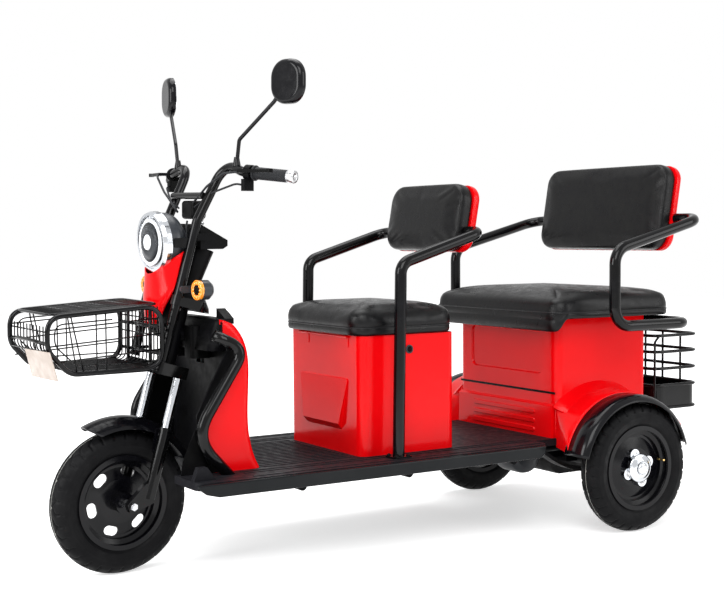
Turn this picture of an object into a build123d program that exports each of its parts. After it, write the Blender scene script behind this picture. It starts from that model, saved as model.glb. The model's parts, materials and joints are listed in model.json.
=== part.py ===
from build123d import *
import math
import os

# Electric passenger tricycle: one steered wheel in front, two driven wheels behind, a driver's seat and a
# passenger bench.  Millimetres.  +X points forward, +Y to the left and +Z up.  While it is modelled, X is
# measured from the rear axle; the last section moves the origin to the middle of the vehicle on the ground.

# ---- driving dimensions -------------------------------------------------------------------------
WHEELBASE = 1606.0
TRACK = 834.0                 # between the rear tyres' middles
TYRE_R = 208.0                # 3.00-10 tyre
TYRE_W = 82.0
RIM_SEAT_R = 127.0            # 10 inch bead seat
RIM_LIP_R = 137.0
RIM_W = 62.0
FIT = 0.3                     # gap between touching curved pieces
RUNNING = 0.05                # radial clearance of a shaft in its bore

RAKE = 15.8                   # steering axis, degrees from upright
TRAIL = 9.0                   # steering axis meets the ground this far ahead of the contact patch
STEER_TURN = 4.3              # the handlebar is parked this many degrees to the left
FORK_HALF = 83.5              # fork leg, off the middle
STANCHION_D = 27.0
LEG_D = 36.0
CROWN_Z = 560.0               # underside of the lower crown
CROWN_H = 34.0
HEAD_TOP_Z = 745.0            # top of the head tube
LEG_TOP_Z = 412.0             # top of the lower fork legs

DECK_TOP = 298.0
DECK_T = 22.0
DECK_HALF = 340.0
DECK_REAR_X = 286.0
DECK_FRONT_X = WHEELBASE - 98
ARCH_HALF = 178.0             # half width of the front wheel's recess
ARCH_X = WHEELBASE - 234               # back of that recess
SILL_H = 48.0
SILL_T = 14.0

BOX_T = 3.0                   # moulded seat box wall
F_BOX_BACK = 568.0
F_BOX_LEN = 349.0
F_BOX_HALF = 219.0
F_BOX_TOP = 662.0
R_BOX_BACK = -205.0
R_BOX_LEN = 400.0
R_BOX_HALF = 267.0
R_BOX_TOP = 690.0
BOX_CORNER = 28.0

F_CUSHION_H = 95.0
R_CUSHION_H = 94.0
PAD_T = 52.0
SHELL_T = 30.0

TUBE_D = 36.0                 # seat arm tubes
F_ARM_HALF = 279.0
F_ARM_X = 815.0
R_ARM_HALF = 430.0
R_ARM_X = 94.0

FENDER_R = 240.0              # crown of the rear mudguard
FENDER_LIP_R = 221.0
FENDER_X = 22.0               # the mudguard's centre is this far ahead of the axle
FENDER_HALF_ARC = 74.0        # and it reaches this many degrees each way from upright
FENDER_T = 4.0
FENDER_OUT = 466.0
RAIL_D = 38.0
RAIL_HALF = 170.0
RAIL_Z = DECK_TOP - DECK_T - RAIL_D / 2

# ---- steering geometry --------------------------------------------------------------------------
SLOPE = math.tan(math.radians(RAKE))
STEER_FOOT_X = WHEELBASE + TRAIL
STEER_AXIS = Axis((STEER_FOOT_X, 0, 0), (-SLOPE, 0, 1))
UP = Vector(-SLOPE, 0, 1).normalized()
AHEAD = Vector(1, 0, SLOPE).normalized()


def on_axis(z, ahead=0.0, side=0.0):
    """A point at height z on the steering axis, moved square to it."""
    start = Vector(STEER_FOOT_X - SLOPE * z, side, z)
    return start + AHEAD * ahead


def steer_plane(z, ahead=0.0, side=0.0):
    """A plane square to the steering axis, with its x to the front."""
    return Plane(origin=on_axis(z, ahead, side), x_dir=AHEAD, z_dir=UP)


# ---- helpers ------------------------------------------------------------------------------------
pieces = {}


def keep(builder, name, steered=False):
    """Label a finished piece; what steers is turned with the parked handlebar."""
    piece = builder.part
    if steered:
        piece = piece.rotate(STEER_AXIS, STEER_TURN)
    piece.label = name
    pieces[name] = piece


def run_tube(points, diameter, bend=0.0):
    """A round tube along straight runs joined by tangent bends."""
    with BuildLine() as run:
        if len(points) == 2:
            Line(*points)
        else:
            FilletPolyline(*points, radius=bend)
    with BuildSketch(Plane(origin=run.line @ 0, z_dir=run.line % 0)) as section:
        Circle(diameter / 2)
    sweep(section.sketch, path=run.line)


def side_plane(y):
    """The upright plane at y, with its x to the front."""
    return Plane.XZ.offset(-y)


def mirrored(point, side):
    """The same point on the left (side 1) or the right (side -1)."""
    return Vector(point.X, point.Y * side, point.Z)


def face_edges(solid, way):
    """The edges of the face whose normal is nearest to way."""
    return max(solid.faces(), key=lambda f: f.normal_at().dot(way)).edges()


# ---- wheels -------------------------------------------------------------------------------------
HUB_R = 30.0
HUB_W = 96.0
AXLE_D = 14.0
BEAD_HALF = RIM_W / 2 - FIT
FLANGE_T = 3.0
WINDOW_TURN = 12.0


def wheel_plane(x, y):
    """Through the wheel's axle, with its x along the radius and its y to the left."""
    return Plane(origin=(x, y, TYRE_R), x_dir=(0, 0, 1), z_dir=(-1, 0, 0))


def tyre_ring(x, y):
    wide = TYRE_W / 2
    wall_r = (RIM_LIP_R + TYRE_R) / 2
    with BuildSketch(wheel_plane(x, y)) as section:
        with BuildLine():
            Line((RIM_SEAT_R, -BEAD_HALF), (RIM_SEAT_R, BEAD_HALF))
            Line((RIM_SEAT_R, BEAD_HALF), (RIM_LIP_R + 3, BEAD_HALF))
            ThreePointArc((RIM_LIP_R + 3, BEAD_HALF), (wall_r, wide), (TYRE_R - 14, wide * 0.8))
            ThreePointArc((TYRE_R - 14, wide * 0.8), (TYRE_R, 0), (TYRE_R - 14, -wide * 0.8))
            ThreePointArc((TYRE_R - 14, -wide * 0.8), (wall_r, -wide), (RIM_LIP_R + 3, -BEAD_HALF))
            Line((RIM_LIP_R + 3, -BEAD_HALF), (RIM_SEAT_R, -BEAD_HALF))
        make_face()
    revolve(section.sketch, axis=Axis((x, y, TYRE_R), (0, 1, 0)))


def rim_disc(x, y, dish, bore_r, windows):
    """Pressed steel rim with its well, two flanges and a disc, which may have windows."""
    seat = RIM_SEAT_R - FIT
    half = RIM_W / 2 + FLANGE_T
    with BuildSketch(wheel_plane(x, y)) as rim:
        with BuildLine():
            Polyline(
                (seat - 4, -half), (RIM_LIP_R, -half), (RIM_LIP_R, -half + FLANGE_T),
                (seat, -half + FLANGE_T),
                (seat, -14), (seat - 14, -10), (seat - 14, 10), (seat, 14),
                (seat, half - FLANGE_T), (RIM_LIP_R, half - FLANGE_T), (RIM_LIP_R, half), (seat - 4, half),
                (seat - 4, 16), (seat - 18, 12), (seat - 18, -12), (seat - 4, -16), close=True)
        make_face()
    revolve(rim.sketch, axis=Axis((x, y, TYRE_R), (0, 1, 0)))
    with BuildSketch(wheel_plane(x, y)) as disc:
        with BuildLine():
            Polyline(
                (bore_r, dish - 3), (62, dish - 3), (96, -3), (seat - 16, -3),
                (seat - 16, 3), (98, 3), (64, dish + 3), (bore_r, dish + 3), close=True)
        make_face()
    revolve(disc.sketch, axis=Axis((x, y, TYRE_R), (0, 1, 0)))
    if windows == 0:
        return
    face = Plane(origin=(x, y, TYRE_R), x_dir=(1, 0, 0), z_dir=(0, 1, 0))
    with BuildSketch(face) as slots:
        with PolarLocations(87, windows, start_angle=WINDOW_TURN):
            SlotOverall(44, 27, rotation=90)
    extrude(slots.sketch, amount=RIM_W, both=True, mode=Mode.SUBTRACT)


with BuildPart() as front_tyre:
    tyre_ring(WHEELBASE, 0)
keep(front_tyre, "front_tyre", steered=True)

with BuildPart() as front_rim:
    rim_disc(WHEELBASE, 0, 6, AXLE_D / 2 + RUNNING, 6)
    with BuildSketch(Plane(origin=(WHEELBASE, 0, TYRE_R), z_dir=(0, 1, 0))):
        Circle(HUB_R)
        Circle(AXLE_D / 2 + RUNNING, mode=Mode.SUBTRACT)
    extrude(amount=HUB_W / 2, both=True)
keep(front_rim, "front_rim", steered=True)

DRUM_R = 66.0
LOBE_R = 19.0                 # the rear hub's four lobes
LOBE_AT = 46.0
LOBE_TURN = 20.0
STUB_R = 12.0
DRUM_IN = 34.0                # brake drum, inboard of the wheel's middle
for side, y_wheel in (("left", TRACK / 2), ("right", -TRACK / 2)):
    out = 1 if y_wheel > 0 else -1
    with BuildPart() as rear_tyre:
        tyre_ring(0, y_wheel)
    keep(rear_tyre, f"rear_{side}_tyre")
    with BuildPart() as rear_rim:
        rim_disc(0, y_wheel, 8 * out, 22, 0)
    keep(rear_rim, f"rear_{side}_rim")
    with BuildPart() as rear_hub:
        with BuildSketch(Plane(origin=(0, y_wheel + 11.3 * out, TYRE_R), z_dir=(0, out, 0))):
            Circle(34)
            with PolarLocations(LOBE_AT / 2, 4, start_angle=LOBE_TURN):
                Rectangle(LOBE_AT, 2 * LOBE_R - 8)
            with PolarLocations(LOBE_AT, 4, start_angle=LOBE_TURN):
                Circle(LOBE_R)
        extrude(amount=14)
        with BuildSketch(Plane(origin=(0, y_wheel + 25.3 * out, TYRE_R), z_dir=(0, out, 0))):
            Circle(26)
        extrude(amount=20, taper=14)
        with BuildSketch(Plane(origin=(0, y_wheel + 11.3 * out, TYRE_R), z_dir=(0, -out, 0))):
            Circle(21.5)
            Circle(STUB_R + RUNNING, mode=Mode.SUBTRACT)
        extrude(amount=30)
    keep(rear_hub, f"rear_{side}_hub")

# ---- fork and front mudguard --------------------------------------------------------------------
LUG_T = 10.0
F_FENDER_HALF = 58.0
UPRIGHT_HALF = 90.0           # the handlebar's two uprights, off the middle
UPRIGHT_AHEAD = 66.0          # and ahead of the steering axis
UPRIGHT_D = 28.0

with BuildPart() as fork_tubes:
    for side in (-FORK_HALF, FORK_HALF):
        run_tube([on_axis(LEG_TOP_Z - 60, side=side), on_axis(CROWN_Z - FIT, side=side)], STANCHION_D)
keep(fork_tubes, "fork_tubes", steered=True)

with BuildPart() as fork_legs:
    for side in (-FORK_HALF, FORK_HALF):
        run_tube([on_axis(TYRE_R + 14, side=side), on_axis(LEG_TOP_Z, side=side)], LEG_D)
        with BuildSketch(steer_plane(LEG_TOP_Z, side=side)):
            Circle(LEG_D / 2 + 2)
        extrude(amount=9)
        out = 1 if side > 0 else -1
        with BuildSketch(side_plane(side)):
            with BuildLine():
                foot = on_axis(TYRE_R + 14)
                Polyline(
                    (foot.X - 16, foot.Z - 10), (foot.X - 22, foot.Z + 46), (foot.X + 12, foot.Z + 46),
                    (WHEELBASE + 17, TYRE_R + 6), (WHEELBASE + 10, TYRE_R - 16),
                    (WHEELBASE - 12, TYRE_R - 16),
                    close=True)
            make_face()
        extrude(amount=LUG_T, both=True)
        boss = on_axis(TYRE_R + 175)
        with BuildSketch(Plane(origin=(boss.X, out * (FORK_HALF - 8), boss.Z), z_dir=(0, -out, 0))):
            Circle(9)
        extrude(amount=FORK_HALF - 8 - F_FENDER_HALF - 5 - FIT)
        with BuildSketch(steer_plane(LEG_TOP_Z - 62, side=side)):
            Circle(STANCHION_D / 2 + RUNNING)
        extrude(amount=90, mode=Mode.SUBTRACT)
    with BuildSketch(Plane(origin=(WHEELBASE, 0, TYRE_R), z_dir=(0, 1, 0))):
        Circle(AXLE_D / 2 + RUNNING)
    extrude(amount=FORK_HALF + 40, both=True, mode=Mode.SUBTRACT)
keep(fork_legs, "fork_legs", steered=True)

with BuildPart() as front_axle:
    with BuildSketch(Plane(origin=(WHEELBASE, 0, TYRE_R), z_dir=(0, 1, 0))):
        Circle(AXLE_D / 2)
    extrude(amount=FORK_HALF + LUG_T + 12, both=True)
    for y in (-1, 1):
        with BuildSketch(Plane(origin=(WHEELBASE, y * (FORK_HALF + LUG_T), TYRE_R), z_dir=(0, y, 0))):
            RegularPolygon(11, 6)
        extrude(amount=9)
        with BuildSketch(Plane(origin=(WHEELBASE, y * (HUB_W / 2 + 0.5), TYRE_R), z_dir=(0, y, 0))):
            Circle(13)
        extrude(amount=FORK_HALF - LUG_T - HUB_W / 2 - 0.5)
keep(front_axle, "front_axle", steered=True)

CROWN_HALF = FORK_HALF + 22
with BuildPart() as fork_crown:
    with BuildSketch(steer_plane(CROWN_Z)):
        Rectangle(46, 2 * FORK_HALF)
        with Locations((0, FORK_HALF), (0, -FORK_HALF)):
            Circle(23)
        with Locations((UPRIGHT_AHEAD / 2, UPRIGHT_HALF), (UPRIGHT_AHEAD / 2, -UPRIGHT_HALF)):
            RectangleRounded(UPRIGHT_AHEAD + 40, 40, 18)
    extrude(amount=CROWN_H)
    with BuildSketch(steer_plane(HEAD_TOP_Z + 8)):
        Rectangle(46, 2 * UPRIGHT_HALF + 20)
        with Locations((UPRIGHT_AHEAD / 2, UPRIGHT_HALF), (UPRIGHT_AHEAD / 2, -UPRIGHT_HALF)):
            RectangleRounded(UPRIGHT_AHEAD + 36, 40, 18)
        with Locations((UPRIGHT_AHEAD, UPRIGHT_HALF), (UPRIGHT_AHEAD, -UPRIGHT_HALF)):
            Circle(UPRIGHT_D / 2 + 0.1, mode=Mode.SUBTRACT)
    extrude(amount=28)
    run_tube([on_axis(CROWN_Z + 2), on_axis(HEAD_TOP_Z + 30)], 26)
keep(fork_crown, "fork_crown", steered=True)

F_FENDER_R = TYRE_R + 40
F_FENDER_T = 3.5
F_FENDER_DROP = 34.0          # how far its sides hang below its crown
F_FENDER_FROM = 26.0          # its front tip, degrees ahead of upright
F_FENDER_ARC = 90.0
F_FENDER_NOSE = 60.0          # radius of its rounded front, seen from above
with BuildPart() as front_fender:
    with BuildSketch(Plane(origin=(WHEELBASE, 0, TYRE_R),
                           x_dir=(math.sin(math.radians(F_FENDER_FROM)), 0,
                                  math.cos(math.radians(F_FENDER_FROM))),
                           z_dir=(-math.cos(math.radians(F_FENDER_FROM)), 0,
                                  math.sin(math.radians(F_FENDER_FROM))))):
        with BuildLine():
            edge = F_FENDER_R - F_FENDER_DROP
            ThreePointArc((edge, -F_FENDER_HALF), (F_FENDER_R, 0), (edge, F_FENDER_HALF))
            Line((edge, F_FENDER_HALF), (edge, F_FENDER_HALF - F_FENDER_T))
            ThreePointArc((edge, F_FENDER_HALF - F_FENDER_T), (F_FENDER_R - F_FENDER_T, 0),
                          (edge, F_FENDER_T - F_FENDER_HALF))
            Line((edge, F_FENDER_T - F_FENDER_HALF), (edge, -F_FENDER_HALF))
        make_face()
    revolve(axis=Axis((WHEELBASE, 0, TYRE_R), (0, -1, 0)), revolution_arc=F_FENDER_ARC)
    tip = WHEELBASE + F_FENDER_R * math.sin(math.radians(F_FENDER_FROM))
    with BuildSketch(Plane.XY.offset(TYRE_R)):
        with Locations((tip - F_FENDER_NOSE, 0)):
            Circle(F_FENDER_NOSE + 1)
        with Locations((tip - 2 * F_FENDER_NOSE, 0)):
            Rectangle(2 * F_FENDER_NOSE, 2 * F_FENDER_HALF + 2)
        with Locations((WHEELBASE - F_FENDER_R, 0)):
            Rectangle(2 * F_FENDER_R, 2 * F_FENDER_HALF + 2)
    extrude(amount=2 * F_FENDER_R, both=True, mode=Mode.INTERSECT)
    for side in (-1, 1):
        with BuildSketch(side_plane(side * (F_FENDER_HALF + 2))):
            with BuildLine():
                top = on_axis(TYRE_R + 190)
                Polyline((top.X - 14, top.Z + 20), (top.X + 16, top.Z + 20),
                         (top.X + 26, top.Z - 50), (top.X - 8, top.Z - 50), close=True)
            make_face()
        extrude(amount=3, both=True)
keep(front_fender, "front_fender", steered=True)

# ---- handlebar ----------------------------------------------------------------------------------
LAMP = Vector(WHEELBASE - 109, 0, 949)
LAMP_DIP = 4.0
LAMP_R = 89.0
lamp_way = Vector(math.cos(math.radians(LAMP_DIP)), 0, -math.sin(math.radians(LAMP_DIP)))
lamp_axis = Axis(LAMP, lamp_way)
lamp_plane = Plane(origin=LAMP, x_dir=lamp_way, z_dir=(0, -1, 0))
BOWL_R = LAMP_R - 6
BRACKET_T = 6.0
GRIP_D = 36.0
GRIP_FROM_Y = 241.0
BAR_BEND_Z = 1012.0
BAR_TOP_Z = 1180.0
PERCH = Vector(WHEELBASE - 292, 205, 1151)
BAR_END = Vector(WHEELBASE - 357, 342, 1137)

bar_way = (BAR_END - PERCH).normalized()


def upright_at(z, side):
    """The middle of an upright at height z."""
    return Vector(STEER_FOOT_X - SLOPE * z + UPRIGHT_AHEAD / math.cos(math.radians(RAKE)),
                  side * UPRIGHT_HALF, z)


with BuildPart() as handlebar:
    for side in (1, -1):
        foot = upright_at(CROWN_Z + CROWN_H / math.cos(math.radians(RAKE)) + UPRIGHT_AHEAD * math.sin(
            math.radians(RAKE)) + 2, side)
        bend = upright_at(BAR_BEND_Z, side)
        top = Vector(PERCH.X - 2, side * (UPRIGHT_HALF + 14), BAR_TOP_Z)
        run_tube([foot, bend, top, mirrored(PERCH, side), mirrored(BAR_END, side)], UPRIGHT_D, 50)
    for z, thick in ((1084, 20), (856, 18)):
        run_tube([upright_at(z, 1), upright_at(z, -1)], thick)
    for side in (1, -1):
        post = upright_at(LAMP.Z, side)
        with BuildSketch(side_plane(side * (BOWL_R + BRACKET_T / 2 + 1.5))):
            with Locations(((post.X + LAMP.X - 26) / 2 - 5, LAMP.Z)):
                RectangleRounded(LAMP.X - 26 - post.X + 10, 28, 8)
        extrude(amount=BRACKET_T / 2, both=True)
        with BuildSketch(Plane(origin=(LAMP.X - 44, side * (BOWL_R + 2), LAMP.Z), z_dir=(0, -side, 0))):
            Circle(6)
        extrude(amount=2 - 2 * FIT)
keep(handlebar, "handlebar", steered=True)

with BuildPart() as grips:
    for side in (1, -1):
        start = mirrored(PERCH + bar_way * ((GRIP_FROM_Y - PERCH.Y) / bar_way.Y), side)
        end = mirrored(BAR_END + bar_way * 4, side)
        with BuildSketch(Plane(origin=start, z_dir=end - start)):
            Circle(GRIP_D / 2)
            Circle(UPRIGHT_D / 2 + 0.1, mode=Mode.SUBTRACT)
        extrude(amount=(end - start).length)
        with BuildSketch(Plane(origin=start, z_dir=end - start)):
            Circle(GRIP_D / 2 + 4)
            Circle(UPRIGHT_D / 2 + 0.1, mode=Mode.SUBTRACT)
        extrude(amount=6)
keep(grips, "grips", steered=True)

LEVER_AHEAD = 46.0
with BuildPart() as levers:
    for side in (1, -1):
        base = mirrored(PERCH + bar_way * 13, side)
        with BuildSketch(Plane(origin=base, z_dir=mirrored(bar_way, side))):
            Circle(UPRIGHT_D / 2 + 8)
            Circle(UPRIGHT_D / 2 + 0.1, mode=Mode.SUBTRACT)
        extrude(amount=20)
        with BuildSketch(Plane.XY.offset(PERCH.Z - 4)):
            with BuildLine():
                Polyline((PERCH.X + 19, side * (PERCH.Y + 2)),
                         (PERCH.X + LEVER_AHEAD, side * (PERCH.Y + 10)),
                         (BAR_END.X + LEVER_AHEAD + 26, side * (BAR_END.Y + 12)),
                         (BAR_END.X + LEVER_AHEAD + 14, side * (BAR_END.Y + 6)),
                         (PERCH.X + LEVER_AHEAD - 22, side * (PERCH.Y + 24)),
                         (PERCH.X + 14, side * (PERCH.Y + 26)), close=True)
            make_face()
        extrude(amount=9)
        with BuildSketch(Plane.XY.offset(PERCH.Z - 5)):
            with Locations((BAR_END.X + LEVER_AHEAD + 20, side * (BAR_END.Y + 10))):
                Circle(8)
        extrude(amount=11)
        with BuildSketch(Plane.XY.offset(PERCH.Z - 54)):
            with Locations((PERCH.X - 6, side * (PERCH.Y + 16))):
                RectangleRounded(34, 22, 6)
        extrude(amount=34)
keep(levers, "levers", steered=True)

MIRROR_HEAD = Vector(WHEELBASE - 349, 347, 1398)
MIRROR_HALF_W = 59.0
MIRROR_HALF_H = 62.0
MIRROR_TOE = 14.5
with BuildPart() as mirrors:
    bar_top = Vector(PERCH.X - 2, UPRIGHT_HALF + 14, BAR_TOP_Z)
    base = PERCH + (bar_top - PERCH) * 0.3 + Vector(2, 0, 8)
    with BuildSketch(Plane(origin=base)):
        Circle(12)
    extrude(amount=26, taper=10)
    away = Vector(math.cos(math.radians(MIRROR_TOE)), math.sin(math.radians(MIRROR_TOE)), 0)
    run_tube([base + Vector(0, 0, 4), base + Vector(0, 14, 74), base + Vector(-44, 128, 176),
              MIRROR_HEAD - away * 2], 11, 16)
    with BuildSketch(Plane(origin=PERCH, z_dir=bar_top - PERCH)) as bar:
        Circle(UPRIGHT_D / 2 + 0.1)
    extrude(bar.sketch, amount=(bar_top - PERCH).length, mode=Mode.SUBTRACT)
    face = Plane(origin=MIRROR_HEAD - away * 12, x_dir=(-away.Y, away.X, 0), z_dir=away)
    with BuildSketch(face) as outline:
        RectangleRounded(2 * MIRROR_HALF_W, 2 * MIRROR_HALF_H, MIRROR_HALF_W - 8)
    shell = extrude(outline.sketch, amount=22, mode=Mode.PRIVATE)
    add(shell.fillet(14, face_edges(shell, away)))
    mirror(about=Plane.XZ)
keep(mirrors, "mirrors", steered=True)

# ---- headlight, front panel and signals ---------------------------------------------------------
BOWL_T = 3.0
with BuildPart() as headlight_bowl:
    with BuildSketch(lamp_plane):
        with BuildLine():
            Line((-8, BOWL_R), (-40, BOWL_R))
            Spline((-40, BOWL_R), (-86, BOWL_R - 32), (-112, 0), tangents=[(-1, 0), (0, -1)])
            Line((-112, 0), (-112 + BOWL_T, 0))
            Spline((-112 + BOWL_T, 0), (-84, BOWL_R - 34), (-40, BOWL_R - BOWL_T),
                   tangents=[(0, 1), (1, 0)])
            Line((-40, BOWL_R - BOWL_T), (-8, BOWL_R - BOWL_T))
            Line((-8, BOWL_R - BOWL_T), (-8, BOWL_R))
        make_face()
    revolve(axis=lamp_axis)
keep(headlight_bowl, "headlight_bowl", steered=True)

with BuildPart() as headlight_ring:
    with BuildSketch(lamp_plane):
        with BuildLine():
            Polyline((-22, LAMP_R - 5.7), (-22, LAMP_R), (-6, LAMP_R), (3, LAMP_R - 4), (3, LAMP_R - 12),
                     (-7.7, LAMP_R - 12), (-7.7, LAMP_R - 5.7), close=True)
        make_face()
    revolve(axis=lamp_axis)
keep(headlight_ring, "headlight_ring", steered=True)

LENS_BULGE = 14.0
with BuildPart() as headlight_lens:
    with BuildSketch(lamp_plane):
        with BuildLine():
            Line((-6, 0), (-6, LAMP_R - 12.3))
            Line((-6, LAMP_R - 12.3), (-1, LAMP_R - 12.3))
            TangentArc((LENS_BULGE, 0), (-1, LAMP_R - 12.3), tangent=(0, 1))
            Line((LENS_BULGE, 0), (-6, 0))
        make_face()
    revolve(axis=lamp_axis)
keep(headlight_lens, "headlight_lens", steered=True)

PANEL_FRONT_X = WHEELBASE - 100
PANEL_HALF = 92.0
PANEL_WAIST_Z = 848.0
PANEL_T = 3.0
PANEL_BACK = PANEL_FRONT_X - PANEL_T - FIT - (
    upright_at(PANEL_WAIST_Z, 1).X + UPRIGHT_D / 2 / math.cos(math.radians(RAKE)))
PANEL_LOW_Z = 715.0
with BuildPart() as front_panel:
    with BuildSketch(Plane.XY.offset(PANEL_LOW_Z)):
        with BuildLine():
            back = PANEL_FRONT_X - PANEL_BACK
            ThreePointArc((back, -PANEL_HALF), (PANEL_FRONT_X, 0), (back, PANEL_HALF))
            Line((back, PANEL_HALF), (back - PANEL_T, PANEL_HALF))
            ThreePointArc((back - PANEL_T, PANEL_HALF), (PANEL_FRONT_X - PANEL_T, 0),
                          (back - PANEL_T, -PANEL_HALF))
            Line((back - PANEL_T, -PANEL_HALF), (back, -PANEL_HALF))
        make_face()
    extrude(amount=225)
    with BuildSketch(Plane.YZ.offset(PANEL_FRONT_X - 100)):
        with BuildLine():
            Line((0, PANEL_LOW_Z), (34, PANEL_LOW_Z + 20))
            Line((34, PANEL_LOW_Z + 20), (PANEL_HALF, PANEL_WAIST_Z))
            Line((PANEL_HALF, PANEL_WAIST_Z), (PANEL_HALF - 1, 930))
            ThreePointArc((PANEL_HALF - 1, 930), (66, 883), (0, LAMP.Z - LAMP_R - 4))
            ThreePointArc((0, LAMP.Z - LAMP_R - 4), (-66, 883), (1 - PANEL_HALF, 930))
            Line((1 - PANEL_HALF, 930), (-PANEL_HALF, PANEL_WAIST_Z))
            Line((-PANEL_HALF, PANEL_WAIST_Z), (-34, PANEL_LOW_Z + 20))
            Line((-34, PANEL_LOW_Z + 20), (0, PANEL_LOW_Z))
        make_face()
    extrude(amount=120, mode=Mode.INTERSECT)
keep(front_panel, "front_panel", steered=True)

SIGNAL = Vector(WHEELBASE - 174, 157, 817)
SIGNAL_R = 28.0
with BuildPart() as turn_signals:
    for side in (1, -1):
        with BuildSketch(Plane(origin=mirrored(SIGNAL, side) - Vector(6, 0, 0), z_dir=(-1, 0, 0))):
            Circle(SIGNAL_R)
        extrude(amount=24)
        with BuildSketch(Plane(origin=mirrored(SIGNAL, side) - Vector(30, 0, 0), z_dir=(-1, 0, 0))):
            Circle(SIGNAL_R)
        extrude(amount=10, taper=40)
        seat_y = UPRIGHT_HALF + UPRIGHT_D / 2 + FIT
        with BuildSketch(Plane(origin=(SIGNAL.X - 20, side * (SIGNAL.Y - 10), SIGNAL.Z),
                               z_dir=(0, -side, 0))):
            Circle(7)
        extrude(amount=SIGNAL.Y - 10 - seat_y - 8)
        stem_x = (SIGNAL.X - 20 + upright_at(SIGNAL.Z, 1).X) / 2
        with BuildSketch(Plane(origin=(stem_x, side * seat_y, SIGNAL.Z),
                               x_dir=(1, 0, 0), z_dir=(0, side, 0))):
            RectangleRounded(upright_at(SIGNAL.Z, 1).X - SIGNAL.X + 20 + 20, 20, 8)
        extrude(amount=8)
keep(turn_signals, "turn_signals", steered=True)

with BuildPart() as turn_lenses:
    for side in (1, -1):
        with BuildSketch(Plane(origin=mirrored(SIGNAL, side) - Vector(5.7, 0, 0), z_dir=(1, 0, 0))):
            Circle(SIGNAL_R - 1)
        extrude(amount=8)
keep(turn_lenses, "turn_lenses", steered=True)

DASH_HALF = 66.0
DASH_X = WHEELBASE - 324       # its rear edge
COLUMN_TOP_R = 42.0
COLUMN_LOW_R = 29.0
with BuildPart() as dash:
    with BuildSketch(Plane.XZ):
        with BuildLine():
            Polyline((DASH_X + 90, 1002), (DASH_X, 955), (DASH_X, 938), (DASH_X + 16, 929),
                     (DASH_X + 90, 929),
                     close=True)
        make_face()
    extrude(amount=DASH_HALF, both=True)
    for side in (1, -1):
        post = upright_at(975, side)
        with BuildSketch(Plane.XY.offset(955)):
            reach = post.X - UPRIGHT_D / 2 / math.cos(math.radians(RAKE)) - FIT
            with Locations(((DASH_X + 68 + reach) / 2, side * (DASH_HALF + 6))):
                Rectangle(reach - DASH_X - 68, 24)
        extrude(amount=20)
    low_z = HEAD_TOP_Z + 8 + 28 * math.cos(math.radians(RAKE)) + FIT
    with BuildSketch(steer_plane(low_z)):
        Circle(COLUMN_LOW_R)
    with BuildSketch(steer_plane(932, ahead=COLUMN_LOW_R - COLUMN_TOP_R)):
        Circle(COLUMN_TOP_R)
    loft()
keep(dash, "dash", steered=True)

# ---- front basket -------------------------------------------------------------------------------
BASKET_BACK_X = WHEELBASE - 73
BASKET_FRONT_X = BASKET_BACK_X + 339
BASKET_LOW_Z = 600.0
BASKET_TOP_Z = 768.0
BASKET_HALF = 132.0
BASKET_D = 14.0
SHEET_T = 4.0
MESH_PITCH = 58.0
MESH_BAR = 8.0
RAIL_BEND = 44.0


def basket_side(inset, lift=0.0):
    """Side outline, cut away at the front's lower corner, drawn smaller by inset and taller by lift."""
    back = BASKET_BACK_X + inset
    front = BASKET_FRONT_X - inset
    low = BASKET_LOW_Z + inset
    return (
        (back, low), (front - 62, low), (front, BASKET_LOW_Z + 68 + inset / 2),
        (front, BASKET_TOP_Z - 12 + lift), (back, BASKET_TOP_Z + 8 + lift))


def run_hoop(corners, diameter, bend):
    """A round bar bent into a closed hoop."""
    with BuildLine() as hoop:
        FilletPolyline(*corners, radius=bend, close=True)
    with BuildSketch(Plane(origin=hoop.line @ 0, z_dir=hoop.line % 0)) as section:
        Circle(diameter / 2)
    sweep(section.sketch, path=hoop.line)


def cut_mesh(plane, width, height, depth):
    """Cut a grid of square openings through a sheet, centred on plane."""
    across = max(1, round(width / MESH_PITCH))
    up = max(1, round(height / MESH_PITCH))
    with BuildSketch(plane) as openings:
        with GridLocations(width / across, height / up, across, up):
            Rectangle(width / across - MESH_BAR, height / up - MESH_BAR)
    extrude(openings.sketch, amount=depth, both=True, mode=Mode.SUBTRACT)


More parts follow.
